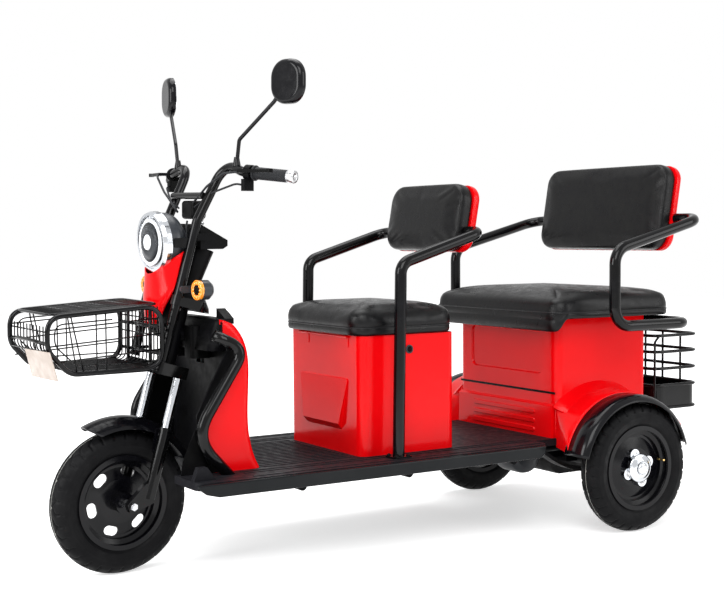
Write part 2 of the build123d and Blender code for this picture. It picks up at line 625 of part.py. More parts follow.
with BuildPart() as front_basket:
    for inset, mode in ((0, Mode.ADD), (SHEET_T, Mode.SUBTRACT)):
        half = BASKET_HALF - inset
        with BuildSketch(side_plane(half)) as outline:
            with BuildLine():
                FilletPolyline(*basket_side(inset, 80), radius=RAIL_BEND - inset, close=True)
            make_face()
        extrude(outline.sketch, amount=2 * half, mode=mode)
    with BuildSketch(side_plane(BASKET_HALF + 1)) as above:
        with BuildLine():
            Polyline((BASKET_BACK_X - 1, BASKET_TOP_Z + 8), (BASKET_FRONT_X + 1, BASKET_TOP_Z - 12),
                     (BASKET_FRONT_X + 1, BASKET_TOP_Z + 99), (BASKET_BACK_X - 1, BASKET_TOP_Z + 99),
                     close=True)
        make_face()
    extrude(above.sketch, amount=2 * BASKET_HALF + 2, mode=Mode.SUBTRACT)
    wide = 2 * BASKET_HALF - 24
    long = BASKET_FRONT_X - BASKET_BACK_X
    tall = BASKET_TOP_Z - BASKET_LOW_Z
    middle = (BASKET_BACK_X + BASKET_FRONT_X) / 2
    for side in (1, -1):
        wall = Vector(middle - 34, side * BASKET_HALF, BASKET_LOW_Z + tall / 2 - 2)
        cut_mesh(Plane(origin=wall, x_dir=(1, 0, 0), z_dir=(0, -1, 0)), long - 112, tall - 30, 10)
        nose = Vector(BASKET_FRONT_X - 44, side * BASKET_HALF, BASKET_TOP_Z - 56)
        cut_mesh(Plane(origin=nose, x_dir=(1, 0, 0), z_dir=(0, -1, 0)), 52, 56, 10)
    cut_mesh(Plane(origin=(middle - 32, 0, BASKET_LOW_Z)), long - 110, wide, 10)
    cut_mesh(Plane(origin=(BASKET_BACK_X, 0, BASKET_LOW_Z + tall / 2 - 4), x_dir=(0, 1, 0),
                   z_dir=(1, 0, 0)),
             wide, tall - 84, 10)
    front_wall = Plane(origin=(BASKET_FRONT_X, 0, BASKET_TOP_Z - 57), x_dir=(0, 1, 0), z_dir=(1, 0, 0))
    cut_mesh(front_wall, wide, 54, 10)
    for side in (1, -1):
        run_hoop([Vector(x, side * BASKET_HALF, z) for x, z in basket_side(0)], BASKET_D, RAIL_BEND)
    crossbar = Vector(BASKET_FRONT_X, BASKET_HALF, BASKET_TOP_Z - 84)
    run_tube([crossbar, mirrored(crossbar, -1)], 9)
    for z in (640, 714):
        run_tube([Vector(BASKET_BACK_X, BASKET_HALF, z), Vector(BASKET_BACK_X, -BASKET_HALF, z)], 10)
        post = upright_at(z - 8, 1)
        reach = post.X + UPRIGHT_D / 2 / math.cos(math.radians(RAKE)) + FIT
        for side in (1, -1):
            with BuildSketch(Plane.XY.offset(z - 8)) as bracket:
                with Locations(((reach + BASKET_BACK_X + 2) / 2, side * UPRIGHT_HALF)):
                    Rectangle(BASKET_BACK_X + 2 - reach, 22)
            extrude(bracket.sketch, amount=16)
keep(front_basket, "front_basket", steered=True)

LID_T = 5.0                   # it lies on the basket's front and rear walls
LID_INSET = 4.0
LID_HALF = BASKET_HALF - BASKET_D / 2 - 7
LID_LEN = BASKET_FRONT_X - BASKET_BACK_X - LID_INSET - 1
LID_FALL = math.atan(20 / (BASKET_FRONT_X - BASKET_BACK_X))
LID_BAR_R = 4.0
LID_HINGE_Z = BASKET_TOP_Z + 8 - LID_INSET * math.tan(LID_FALL) + LID_BAR_R + FIT
with BuildPart() as front_basket_lid:
    along = Vector(math.cos(LID_FALL), 0, -math.sin(LID_FALL))
    top = Plane(origin=Vector(BASKET_BACK_X + LID_INSET, 0, LID_HINGE_Z) + along * (LID_LEN / 2),
                x_dir=along,
                z_dir=(-along.Z, 0, along.X))
    with BuildSketch(top.offset(-LID_BAR_R)) as sheet:
        RectangleRounded(LID_LEN, 2 * LID_HALF, 8)
    extrude(sheet.sketch, amount=LID_T)
    cut_mesh(top, LID_LEN - 22, 2 * LID_HALF - 16, 12)
    run_tube([Vector(BASKET_BACK_X + LID_INSET, LID_HALF, LID_HINGE_Z),
              Vector(BASKET_BACK_X + LID_INSET, -LID_HALF, LID_HINGE_Z)], 2 * LID_BAR_R)
keep(front_basket_lid, "front_basket_lid", steered=True)

# ---- chassis ------------------------------------------------------------------------------------
HEAD_D = 44.0
NECK_D = 42.0
NECK_X = WHEELBASE - 288
AXLE_TUBE_D = 50.0
DECK_TAIL_X = R_BOX_BACK + 4
CURB_H = 36.0                 # raised block at each front corner of the deck
with BuildPart() as chassis_frame:
    run_tube([on_axis(CROWN_Z + CROWN_H + 1), on_axis(HEAD_TOP_Z + 7)], HEAD_D)
    neck = on_axis(690)
    run_tube([neck, Vector(NECK_X, 0, 650), Vector(NECK_X, 0, RAIL_Z)], NECK_D, 60)
    for side in (1, -1):
        run_tube([Vector(DECK_TAIL_X, side * RAIL_HALF, RAIL_Z),
                  Vector(NECK_X + 20, side * RAIL_HALF, RAIL_Z)], RAIL_D)
    for x in (-150, 240, 620, 880, 1120, NECK_X):
        run_tube([Vector(x, -RAIL_HALF, RAIL_Z), Vector(x, RAIL_HALF, RAIL_Z)], RAIL_D - 6)
    for x in (420, 815, 1180):
        run_tube([Vector(x, -DECK_HALF + 14, RAIL_Z), Vector(x, DECK_HALF - 14, RAIL_Z)], 28)
    with BuildSketch(steer_plane(CROWN_Z)):
        Circle(13 + RUNNING)
    extrude(amount=HEAD_TOP_Z - CROWN_Z + 60, mode=Mode.SUBTRACT)
keep(chassis_frame, "chassis_frame")

with BuildPart() as floor_deck:
    with BuildSketch(Plane.XY.offset(DECK_TOP - DECK_T)):
        with BuildLine():
            Polyline(
                (DECK_TAIL_X, -R_BOX_HALF), (DECK_REAR_X, -R_BOX_HALF), (DECK_REAR_X, -DECK_HALF),
                (DECK_FRONT_X, -DECK_HALF), (DECK_FRONT_X, -ARCH_HALF), (ARCH_X, -ARCH_HALF),
                (ARCH_X, ARCH_HALF), (DECK_FRONT_X, ARCH_HALF), (DECK_FRONT_X, DECK_HALF),
                (DECK_REAR_X, DECK_HALF), (DECK_REAR_X, R_BOX_HALF), (DECK_TAIL_X, R_BOX_HALF), close=True)
        face = make_face()
        outer = [v for v in face.vertices() if abs(abs(v.Y) - DECK_HALF) < 1]
        fillet(outer, 34)
    extrude(amount=DECK_T)
    for side in (1, -1):
        with BuildSketch(side_plane(side * (DECK_HALF - 62))) as curb:
            with BuildLine():
                Polyline((DECK_FRONT_X - 70, DECK_TOP), (DECK_FRONT_X - 44, DECK_TOP + CURB_H),
                         (DECK_FRONT_X - 18, DECK_TOP + CURB_H),
                         (DECK_FRONT_X - 4, DECK_TOP), close=True)
            make_face()
        extrude(curb.sketch, amount=22, both=True)
    with BuildSketch(Plane.XY.offset(DECK_TOP - DECK_T - 1)):
        with Locations((NECK_X, 0)):
            Circle(NECK_D / 2 + 0.5)
    extrude(amount=DECK_T + 2, mode=Mode.SUBTRACT)
keep(floor_deck, "floor_deck")

with BuildPart() as side_sills:
    for side in (1, -1):
        with BuildSketch(Plane.XY.offset(DECK_TOP - SILL_H)):
            with Locations(((DECK_REAR_X + DECK_FRONT_X) / 2, side * (DECK_HALF + SILL_T / 2 + FIT))):
                RectangleRounded(DECK_FRONT_X - DECK_REAR_X - 72, SILL_T, 5)
        extrude(amount=SILL_H - 3)
keep(side_sills, "side_sills")

SHIELD_HALF = 205.0
SHIELD_BACK_X = WHEELBASE - 329
SHIELD_TOP = 729.0
SHIELD_T = 4.0
SHIELD_ROUND = 26.0
LINER_T = 3.0


def shield_side(setback, reach, drop):
    """The leg shield's side outline; reach carries its front edge forward."""
    x = SHIELD_BACK_X + setback
    top = SHIELD_TOP - drop
    Spline((x - 33, DECK_TOP), (x - 9, DECK_TOP + 55), (x, 553), (x + 5, 640), (x + 45, top - 16))
    Polyline((x + 45, top - 16), (x + 89 + reach, top), (x + 90 + reach, 690), (x + 71 + reach, 641),
             (x + 122 + reach, 552),
             (x + 169 + reach, 463), (x + 167 + reach, 402), (x + 140 + reach, 338),
             (x + 123 + reach, DECK_TOP),
             (x - 33, DECK_TOP))


with BuildPart() as leg_shield:
    for half, setback, reach, drop, soften, mode in (
            (SHIELD_HALF, 0, 0, 0, SHIELD_ROUND, Mode.ADD),
            (SHIELD_HALF - SHIELD_T, SHIELD_T, 60, SHIELD_T, SHIELD_ROUND - SHIELD_T, Mode.SUBTRACT)):
        with BuildSketch(side_plane(half)) as side_view:
            with BuildLine():
                shield_side(setback, reach, drop)
            make_face()
        block = extrude(side_view.sketch, amount=2 * half, mode=Mode.PRIVATE)
        add(block.fillet(soften, block.edges().filter_by(GeomType.BSPLINE)), mode=mode)
keep(leg_shield, "leg_shield")

LINER_HALF = SHIELD_HALF - SHIELD_T - FIT
LINER_X = SHIELD_BACK_X + 62
LINER_TOP = 690.0
HOOD_LOW_Z = 612.0
HOOD_H = 94.0
HOOD_LEN = 64.0
COWL_HALF = 82.0
with BuildPart() as front_cowl:
    for setback, half, mode in ((0, LINER_HALF, Mode.ADD), (LINER_T, LINER_HALF - LINER_T, Mode.SUBTRACT)):
        front = SHIELD_BACK_X - 2 + (60 if setback else 0)
        with BuildSketch(side_plane(half)) as side_view:
            with BuildLine():
                Polyline(
                    (LINER_X + setback, DECK_TOP), (LINER_X + setback, LINER_TOP),
                    (front + 88, LINER_TOP), (front + 71, 641),
                    (front + 122, 552), (front + 169, 463), (front + 167, 402), (front + 140, 338),
                    (front + 123, DECK_TOP), close=True)
            make_face()
        extrude(side_view.sketch, amount=2 * half, mode=mode)
    with BuildSketch(Plane.XY.offset(HOOD_LOW_Z)) as hood:
        with Locations((LINER_X + HOOD_LEN / 2, 0)):
            RectangleRounded(HOOD_LEN, 2 * COWL_HALF, 18)
    extrude(hood.sketch, amount=HOOD_H)
    with BuildSketch(Plane.XY.offset(HOOD_LOW_Z - 20)) as slot:
        with Locations((LINER_X + 40, 0)):
            Rectangle(160, HEAD_D + 8)
    extrude(slot.sketch, amount=HOOD_H + 40, mode=Mode.SUBTRACT)
keep(front_cowl, "front_cowl")

GUARD_HALF = 242.0
GUARD_D = 32.0
GUARD_FOOT = DECK_FRONT_X - 136
with BuildPart() as guard_tubes:
    for side in (1, -1):
        run_tube([
            Vector(SHIELD_BACK_X + 122, side * (SHIELD_HALF + GUARD_D / 2 + FIT), 706),
            Vector(SHIELD_BACK_X + 50, side * GUARD_HALF, 642),
            Vector(SHIELD_BACK_X + 172, side * GUARD_HALF, 446),
            Vector(SHIELD_BACK_X + 164, side * GUARD_HALF, 380),
            Vector(GUARD_FOOT, side * GUARD_HALF, DECK_TOP - 4)],
            GUARD_D, 26)
    with BuildSketch(Plane.XY.offset(DECK_TOP)):
        with Locations((GUARD_FOOT, 0)):
            Rectangle(200, 3 * GUARD_HALF)
    extrude(amount=-DECK_T, mode=Mode.SUBTRACT)
keep(guard_tubes, "guard_tubes")

# ---- seats --------------------------------------------------------------------------------------


def seat_box(back, length, half, top):
    """An open-topped moulded box standing on the deck."""
    with BuildSketch(Plane.XY.offset(DECK_TOP)) as outer:
        with Locations((back + length / 2, 0)):
            RectangleRounded(length, 2 * half, BOX_CORNER)
    extrude(outer.sketch, amount=top - DECK_TOP)
    with BuildSketch(Plane.XY.offset(DECK_TOP + BOX_T)) as inner:
        with Locations((back + length / 2, 0)):
            RectangleRounded(length - 2 * BOX_T, 2 * (half - BOX_T), BOX_CORNER - BOX_T)
    extrude(inner.sketch, amount=top - DECK_TOP, mode=Mode.SUBTRACT)


def cushion(back, front, half, low, high, round_edge):
    """A plain closed cushion with rounded edges."""
    with BuildSketch(Plane.XY.offset(low)) as outline:
        with Locations(((back + front) / 2, 0)):
            RectangleRounded(front - back, 2 * half, 34)
    block = extrude(outline.sketch, amount=high - low)
    fillet(block.faces().sort_by(Axis.Z)[-1].edges(), round_edge)


F_BOX_FRONT = F_BOX_BACK + F_BOX_LEN
R_BOX_FRONT = R_BOX_BACK + R_BOX_LEN
EMBOSS_LOW_Z = 368.0
EMBOSS_TOP_Z = 530.0
with BuildPart() as front_seat_box:
    seat_box(F_BOX_BACK, F_BOX_LEN, F_BOX_HALF, F_BOX_TOP)
    with BuildSketch(side_plane(160)) as wedge:
        with BuildLine():
            Polyline((F_BOX_FRONT - 1, EMBOSS_TOP_Z), (F_BOX_FRONT + 3, EMBOSS_TOP_Z - 3),
                     (F_BOX_FRONT + 15, EMBOSS_LOW_Z + 20),
                     (F_BOX_FRONT - 1, EMBOSS_LOW_Z), close=True)
        make_face()
    with BuildSketch(Plane.YZ.offset(F_BOX_FRONT - 10)) as shape:
        with BuildLine():
            Polyline((-146, EMBOSS_TOP_Z), (146, EMBOSS_TOP_Z), (104, EMBOSS_LOW_Z),
                     (-104, EMBOSS_LOW_Z), close=True)
        make_face()
        fillet(shape.vertices(), 10)
    add(extrude(wedge.sketch, amount=320, mode=Mode.PRIVATE) & extrude(shape.sketch, amount=60,
                                                                       mode=Mode.PRIVATE))
keep(front_seat_box, "front_seat_box")

PRESS_T = 6.0                 # the front wall is this much thicker behind its pressed panel
PRESS_HALF = 196.0
PRESS_LOW_Z = 503.0
GROOVE_Z = 445.0
KICK_TOP_Z = 410.0
KICK_T = 12.0
FLARE_OUT = 350.0             # the box side rolls out over the mudguard to here
with BuildPart() as rear_seat_box:
    seat_box(R_BOX_BACK, R_BOX_LEN, R_BOX_HALF, R_BOX_TOP)
    with BuildSketch(Plane.YZ.offset(R_BOX_FRONT - BOX_T)) as backing:
        with Locations((0, (PRESS_LOW_Z + R_BOX_TOP) / 2 - 30)):
            Rectangle(2 * PRESS_HALF + 30, R_BOX_TOP - PRESS_LOW_Z + 20)
    extrude(backing.sketch, amount=-PRESS_T)
    with BuildSketch(Plane.YZ.offset(R_BOX_FRONT)) as pressed:
        with Locations((0, PRESS_LOW_Z + 72)):
            RectangleRounded(2 * PRESS_HALF, 144, 26)
    extrude(pressed.sketch, amount=-PRESS_T, taper=30, mode=Mode.SUBTRACT)
    with BuildSketch(side_plane(R_BOX_HALF - 12)) as kick:
        with BuildLine():
            Polyline((R_BOX_FRONT - 1, DECK_TOP), (R_BOX_FRONT + KICK_T, DECK_TOP),
                     (R_BOX_FRONT + KICK_T, KICK_TOP_Z - 8),
                     (R_BOX_FRONT - 1, KICK_TOP_Z), close=True)
        make_face()
    extrude(kick.sketch, amount=2 * R_BOX_HALF - 24)
    for rib in range(3):
        with BuildSketch(Plane.YZ.offset(R_BOX_FRONT + KICK_T)) as bar:
            with Locations((0, 318 + rib * 30)):
                RectangleRounded(340, 17, 8)
        extrude(bar.sketch, amount=4, taper=30)
    with BuildSketch(side_plane(R_BOX_HALF + 5)) as groove:
        with Locations((R_BOX_FRONT, GROOVE_Z)):
            Rectangle(3.6, 7)
    extrude(groove.sketch, amount=2 * R_BOX_HALF + 10, mode=Mode.SUBTRACT)
    for side in (1, -1):
        start = math.radians(44)
        seat_r = FENDER_R + FIT
        with BuildSketch(Plane(origin=(FENDER_X, 0, TYRE_R), x_dir=(math.sin(start), 0, math.cos(start)),
                               z_dir=(-math.cos(start), 0, math.sin(start)))) as flare:
            with BuildLine():
                Polyline((seat_r + 2, side * FLARE_OUT), (seat_r, side * FLARE_OUT),
                         (seat_r, side * (R_BOX_HALF - 1)),
                         (seat_r + 30, side * (R_BOX_HALF - 1)))
                ThreePointArc((seat_r + 30, side * (R_BOX_HALF - 1)),
                              (seat_r + 11, side * (R_BOX_HALF + 32)),
                              (seat_r + 2, side * FLARE_OUT))
            make_face()
        revolve(flare.sketch, axis=Axis((FENDER_X, 0, TYRE_R), (0, -1, 0)), revolution_arc=110)
keep(rear_seat_box, "rear_seat_box")

# where each seat's hinge line lies, in x and z; the bench turns on the tube behind its box
F_HINGE = (F_BOX_FRONT + 5, F_BOX_TOP - 5)
R_CROSS_X = R_BOX_BACK - TUBE_D / 2 - 16
R_ARM_LOW_Z = R_BOX_TOP - 21
R_HINGE = (R_CROSS_X, R_ARM_LOW_Z)
with BuildPart() as front_cushion:
    cushion(F_BOX_BACK + 2, F_BOX_FRONT + 24, F_BOX_HALF + 13, F_BOX_TOP + FIT, F_BOX_TOP + F_CUSHION_H, 26)
keep(front_cushion, "front_cushion")

R_SEAT_HALF = 346.0
R_SEAT_FRONT = R_BOX_FRONT + 64
R_SKIRT = 44.0
with BuildPart() as rear_cushion:
    cushion(R_CROSS_X - 12, R_SEAT_FRONT, R_SEAT_HALF, R_BOX_TOP + FIT, R_BOX_TOP + R_CUSHION_H, 28)
    with BuildSketch(Plane.XY.offset(R_BOX_TOP + 2)):
        with Locations(((R_BOX_FRONT + R_SEAT_FRONT) / 2, 0)):
            Rectangle(R_SEAT_FRONT - R_BOX_FRONT - 12, 2 * R_SEAT_HALF - 80)
    extrude(amount=-R_SKIRT)
keep(rear_cushion, "rear_cushion")


def backrest(low_x, top_x, low_z, top_z, half, depth_from, depth, corner, soften, faces):
    """A leaning slab with rounded corners, measured back from the backrest's front face."""
    up = Vector(top_x - low_x, 0, top_z - low_z)
    back = Vector(-up.Z, 0, up.X).normalized()
    middle = Vector((low_x + top_x) / 2, 0, (low_z + top_z) / 2) + back * depth_from
    with BuildSketch(Plane(origin=middle, x_dir=(0, 1, 0), z_dir=back)) as outline:
        RectangleRounded(2 * half, up.length, corner)
    slab = extrude(outline.sketch, amount=depth, mode=Mode.PRIVATE)
    add(slab.fillet(soften, face_edges(slab, back * faces)))


F_BACK = (566.0, 527.0, 920.0, 1131.0)
R_BACK = (-198.0, -248.0, 915.0, 1204.0)
F_BACK_HALF = 208.0
R_BACK_HALF = 317.0
for name, place, half in (("front", F_BACK, F_BACK_HALF), ("rear", R_BACK, R_BACK_HALF)):
    with BuildPart() as pad:
        backrest(*place, half - 4, 0, PAD_T, 46, 20, -1)
    keep(pad, f"{name}_backrest_pad")
    with BuildPart() as shell:
        backrest(*place, half, PAD_T + FIT, SHELL_T, 50, 20, 1)
    keep(shell, f"{name}_backrest_shell")

F_ARM_BEND_Z = 880.0
F_ARM_END = Vector(F_BACK[0] - 56, F_BACK_HALF + FIT, 973)
with BuildPart() as front_seat_arms:
    for side in (1, -1):
        run_tube([
            Vector(F_ARM_X + 8, side * F_ARM_HALF, DECK_TOP + 4),
            Vector(F_ARM_X - 4, side * F_ARM_HALF, F_ARM_BEND_Z),
            Vector(F_ARM_END.X, side * F_ARM_HALF, F_ARM_END.Z), mirrored(F_ARM_END, side)], TUBE_D, 42)
        with BuildSketch(Plane.XY.offset(DECK_TOP)):
            with Locations((F_ARM_X + 8, side * F_ARM_HALF)):
                RectangleRounded(64, 64, 12)
        extrude(amount=6)
keep(front_seat_arms, "front_seat_arms")

R_ARM_TOP_Z = 913.0
R_ARM_BACK_X = R_BACK[0] - 90
with BuildPart() as rear_seat_arms:
    for side in (1, -1):
        run_tube([
            Vector(R_ARM_BACK_X, side * (R_BACK_HALF + FIT), 1014),
            Vector(R_ARM_BACK_X, side * R_ARM_HALF, 1014),
            Vector(R_ARM_X, side * R_ARM_HALF, R_ARM_TOP_Z),
            Vector(R_ARM_X, side * R_ARM_HALF, R_ARM_LOW_Z),
            Vector(R_CROSS_X, side * R_ARM_HALF, R_ARM_LOW_Z), Vector(R_CROSS_X, 0, R_ARM_LOW_Z)],
            TUBE_D, 60)
        stub_plane = Plane(origin=(R_BOX_BACK - FIT, side * 150, R_ARM_LOW_Z), x_dir=(0, 1, 0),
                           z_dir=(-1, 0, 0))
        with BuildSketch(stub_plane) as stub:
            RectangleRounded(60, 20, 5)
        extrude(stub.sketch, amount=R_BOX_BACK - FIT - R_CROSS_X)
keep(rear_seat_arms, "rear_seat_arms")

HINGE_R = 4.0
with BuildPart() as seat_hinges:
    for side in (1, -1):
        with BuildSketch(side_plane(side * 120)) as barrel:
            with Locations(F_HINGE):
                Circle(HINGE_R)
            with Locations((F_BOX_FRONT + FIT + 1, F_HINGE[1] - 16)):
                Rectangle(2, 32)
        extrude(barrel.sketch, amount=28, both=True)
    with BuildSketch(side_plane(0)) as pin:
        with Locations(F_HINGE):
            Circle(HINGE_R - 1.5)
    extrude(pin.sketch, amount=120, both=True)
keep(seat_hinges, "seat_hinges")

# ---- rear ---------------------------------------------------------------------------------------
CARRIER_D = 10.0
CARRIER_FRONT_X = R_BOX_BACK - 38
CARRIER_BACK_X = -457.0
CARRIER_HALF = 262.0
CARRIER_LOW_Z = 357.0
TRAY_TOP_Z = 439.0
CARRIER_TOP_Z = R_BOX_TOP - 78
CARRIER_CORNER = 44.0
RAILS = 3                     # rails above the one on the tray
with BuildPart() as rear_basket:
    middle_x = (CARRIER_FRONT_X + CARRIER_BACK_X) / 2
    span = CARRIER_FRONT_X - CARRIER_BACK_X
    with BuildSketch(Plane.XY.offset(CARRIER_LOW_Z)) as tray:
        with Locations((middle_x, 0)):
            RectangleRounded(span + 4, 2 * CARRIER_HALF + 4, CARRIER_CORNER + 2)
    extrude(tray.sketch, amount=TRAY_TOP_Z - CARRIER_LOW_Z)
    with BuildSketch(Plane.XY.offset(CARRIER_LOW_Z + 4)) as inside:
        with Locations((middle_x, 0)):
            RectangleRounded(span - 4, 2 * CARRIER_HALF - 4, CARRIER_CORNER - 2)
    extrude(inside.sketch, amount=TRAY_TOP_Z - CARRIER_LOW_Z - 4, mode=Mode.SUBTRACT)
    for level in range(RAILS + 1):
        z = TRAY_TOP_Z + level * (CARRIER_TOP_Z - TRAY_TOP_Z) / RAILS
        run_hoop([Vector(CARRIER_FRONT_X, CARRIER_HALF, z), Vector(CARRIER_FRONT_X, -CARRIER_HALF, z),
                  Vector(CARRIER_BACK_X, -CARRIER_HALF, z), Vector(CARRIER_BACK_X, CARRIER_HALF, z)],
                 CARRIER_D, CARRIER_CORNER)
    for side in (1, -1):
        for x in (CARRIER_FRONT_X - CARRIER_CORNER, middle_x, CARRIER_BACK_X + CARRIER_CORNER):
            run_tube([Vector(x, side * CARRIER_HALF, TRAY_TOP_Z),
                      Vector(x, side * CARRIER_HALF, CARRIER_TOP_Z)],
                     CARRIER_D - 2)
    for x in (CARRIER_FRONT_X, CARRIER_BACK_X):
        for step in range(-2, 3):
            y = step * CARRIER_HALF / 3
            run_tube([Vector(x, y, TRAY_TOP_Z), Vector(x, y, CARRIER_TOP_Z)], CARRIER_D - 2)
    for side in (1, -1):
        for z in (TRAY_TOP_Z - 40, CARRIER_TOP_Z - 58):
            seat = Vector(R_BOX_BACK - FIT, side * 174, z)
            with BuildSketch(Plane(origin=seat, x_dir=(0, 1, 0), z_dir=(-1, 0, 0))) as stub:
                RectangleRounded(30, 26, 5)
            extrude(stub.sketch, amount=R_BOX_BACK - FIT - CARRIER_FRONT_X)
keep(rear_basket, "rear_basket")

for name, side in (("left", 1), ("right", -1)):
    with BuildPart() as fender:
        start = math.radians(FENDER_HALF_ARC)
        with BuildSketch(Plane(origin=(FENDER_X, 0, TYRE_R), x_dir=(math.sin(start), 0, math.cos(start)),
                               z_dir=(-math.cos(start), 0, math.sin(start)))) as section:
            for drop, mode in ((0, Mode.ADD), (FENDER_T, Mode.SUBTRACT)):
                edge = FENDER_OUT - drop * 0.75
                crown = FENDER_R - drop
                with BuildLine():
                    inner = R_BOX_HALF + FIT - drop
                    Polyline((crown, side * (edge - 30)), (crown, side * inner),
                             (FENDER_LIP_R - drop, side * inner),
                             (FENDER_LIP_R - drop, side * edge), (FENDER_LIP_R + 3, side * edge))
                    ThreePointArc((crown, side * (edge - 30)), (crown - 5, side * (edge - 9)),
                                  (FENDER_LIP_R + 3, side * edge))
                make_face(mode=mode)
        revolve(section.sketch, axis=Axis((FENDER_X, 0, TYRE_R), (0, -1, 0)),
                revolution_arc=2 * FENDER_HALF_ARC)
    keep(fender, f"rear_fender_{name}")

with BuildPart() as rear_axle:
    run_tube([Vector(0, -(TRACK / 2 - 62), TYRE_R), Vector(0, TRACK / 2 - 62, TYRE_R)], AXLE_TUBE_D)
    for side in (1, -1):
        with BuildSketch(Plane(origin=(0, side * (TRACK / 2 - 66), TYRE_R), z_dir=(0, side, 0))):
            Circle(DRUM_R)
        extrude(amount=46)
        with BuildSketch(Plane(origin=(0, side * (TRACK / 2 - 66), TYRE_R), z_dir=(0, side, 0))):
            Circle(STUB_R)
        extrude(amount=66 + 10)
    with BuildSketch(Plane.XZ.offset(-60)):
        with Locations((-70, TYRE_R - 26)):
            RectangleRounded(230, 100, 40)
    extrude(amount=200)
keep(rear_axle, "rear_axle")

LEAF_HALF_LEN = 250.0
LEAF_W = 45.0
LEAF_T = 14.0
with BuildPart() as rear_leaf_springs:
    for side in (1, -1):
        with BuildSketch(Plane.XZ.offset(-side * 230 + LEAF_W / 2)):
            with BuildLine():
                low = TYRE_R - AXLE_TUBE_D / 2 - LEAF_T - FIT
                eye = DECK_TOP - DECK_T - FIT
                ThreePointArc((-LEAF_HALF_LEN, eye - LEAF_T), (0, low), (LEAF_HALF_LEN, eye - LEAF_T))
                Line((LEAF_HALF_LEN, eye - LEAF_T), (LEAF_HALF_LEN, eye))
                ThreePointArc((LEAF_HALF_LEN, eye), (0, low + LEAF_T), (-LEAF_HALF_LEN, eye))
                Line((-LEAF_HALF_LEN, eye), (-LEAF_HALF_LEN, eye - LEAF_T))
            make_face()
        extrude(amount=-LEAF_W)
keep(rear_leaf_springs, "rear_leaf_springs")

with BuildPart() as battery_pack:
    with BuildSketch(Plane.XY.offset(DECK_TOP + BOX_T)):
        with Locations((F_BOX_BACK + F_BOX_LEN / 2, 0)):
            RectangleRounded(200, 350, 8)
    extrude(amount=240)
keep(battery_pack, "battery_pack")

with BuildPart() as tail_lamps:
    for side in (1, -1):
        lean = math.radians(28)
        out = Vector(-math.cos(lean), 0, math.sin(lean))
        seat = Vector(FENDER_X, side * 390, TYRE_R) + out * (FENDER_R + FIT)
        with BuildSketch(Plane(origin=seat, z_dir=out)):
            Circle(30)
        extrude(amount=24)
keep(tail_lamps, "tail_lamps")

# ---- origin: the middle of the vehicle, on the ground -------------------------------------------
boxes = [piece.bounding_box() for piece in pieces.values()]
mid_x = (max(b.max.X for b in boxes) + min(b.min.X for b in boxes)) / 2
os.makedirs("parts", exist_ok=True)
for name, piece in pieces.items():
    placed = piece.moved(Location((-mid_x, 0, 0)))
    placed.label = name
    export_step(placed, f"parts/{name}.step")
print("rear axle at x =", round(-mid_x, 3))
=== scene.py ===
import cmath
import json
import math

import bpy
import numpy as np
from mathutils import Matrix, Vector


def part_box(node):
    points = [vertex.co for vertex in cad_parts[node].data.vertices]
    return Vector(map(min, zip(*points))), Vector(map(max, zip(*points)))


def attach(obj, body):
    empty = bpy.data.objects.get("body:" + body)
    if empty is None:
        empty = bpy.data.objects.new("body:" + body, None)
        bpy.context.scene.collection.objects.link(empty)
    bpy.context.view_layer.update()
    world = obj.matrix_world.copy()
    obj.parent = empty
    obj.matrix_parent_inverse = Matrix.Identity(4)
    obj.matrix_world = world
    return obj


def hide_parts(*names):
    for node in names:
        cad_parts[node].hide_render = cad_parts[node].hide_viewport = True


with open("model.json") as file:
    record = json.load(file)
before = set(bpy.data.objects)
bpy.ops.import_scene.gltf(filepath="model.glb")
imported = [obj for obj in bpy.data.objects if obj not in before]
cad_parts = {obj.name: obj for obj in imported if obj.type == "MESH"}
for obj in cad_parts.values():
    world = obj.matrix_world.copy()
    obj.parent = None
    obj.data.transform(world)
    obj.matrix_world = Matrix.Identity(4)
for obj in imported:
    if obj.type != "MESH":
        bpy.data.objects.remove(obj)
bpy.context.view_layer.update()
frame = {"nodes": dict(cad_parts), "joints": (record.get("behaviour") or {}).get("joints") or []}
NODES = frame["nodes"]
SIDES = (("left", 1), ("right", -1))

# ---- places: millimetres from the rear axle and the ground, as the part's source measures them ----
HUB_LOW, HUB_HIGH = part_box("rear_left_hub")
AXLE_X = (HUB_LOW.x + HUB_HIGH.x) / 2
TYRE_LOW, TYRE_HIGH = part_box("rear_left_tyre")
TYRE_R = (TYRE_HIGH.z - TYRE_LOW.z) / 2
TYRE_HALF = (TYRE_HIGH.y - TYRE_LOW.y) / 2
TRACK_HALF = (TYRE_HIGH.y + TYRE_LOW.y) / 2
JOINTS = {joint["name"]: joint for joint in frame["joints"]}
STEER_AT = Vector(JOINTS["steering_turn"]["pos_m"])
STEER_UP = Vector(JOINTS["steering_turn"]["axis"]).normalized()
STEER_TURN = math.radians(4.3)
TURNED = (Matrix.Translation(STEER_AT) @ Matrix.Rotation(STEER_TURN, 4, STEER_UP)
          @ Matrix.Translation(-STEER_AT))
STEERED = ("steering", "basket_lid")
SLOPE = -STEER_UP.x / STEER_UP.z


def at(x, y, z):
    """A point of the part, given in millimetres from the rear axle and the ground."""
    return Vector((AXLE_X + x / 1000, y / 1000, z / 1000))


def steer_x(z):
    """How far ahead of the rear axle the steering axis is at height z, in millimetres."""
    return (STEER_AT.x - AXLE_X - SLOPE * (z / 1000 - STEER_AT.z)) * 1000


def added(name, data):
    """A new object in the scene."""
    made = bpy.data.objects.new(name, data)
    bpy.context.scene.collection.objects.link(made)
    return made


# ---- camera and light ----
CAMERA_AT = at(3003.9, 3567.7, 971.2)
CAMERA_TURNS = (31.996, 2.997, -0.356)
CAMERA_LENS, CAMERA_SENSOR, CAMERA_FAR = 65.73, 36.0, 100.0


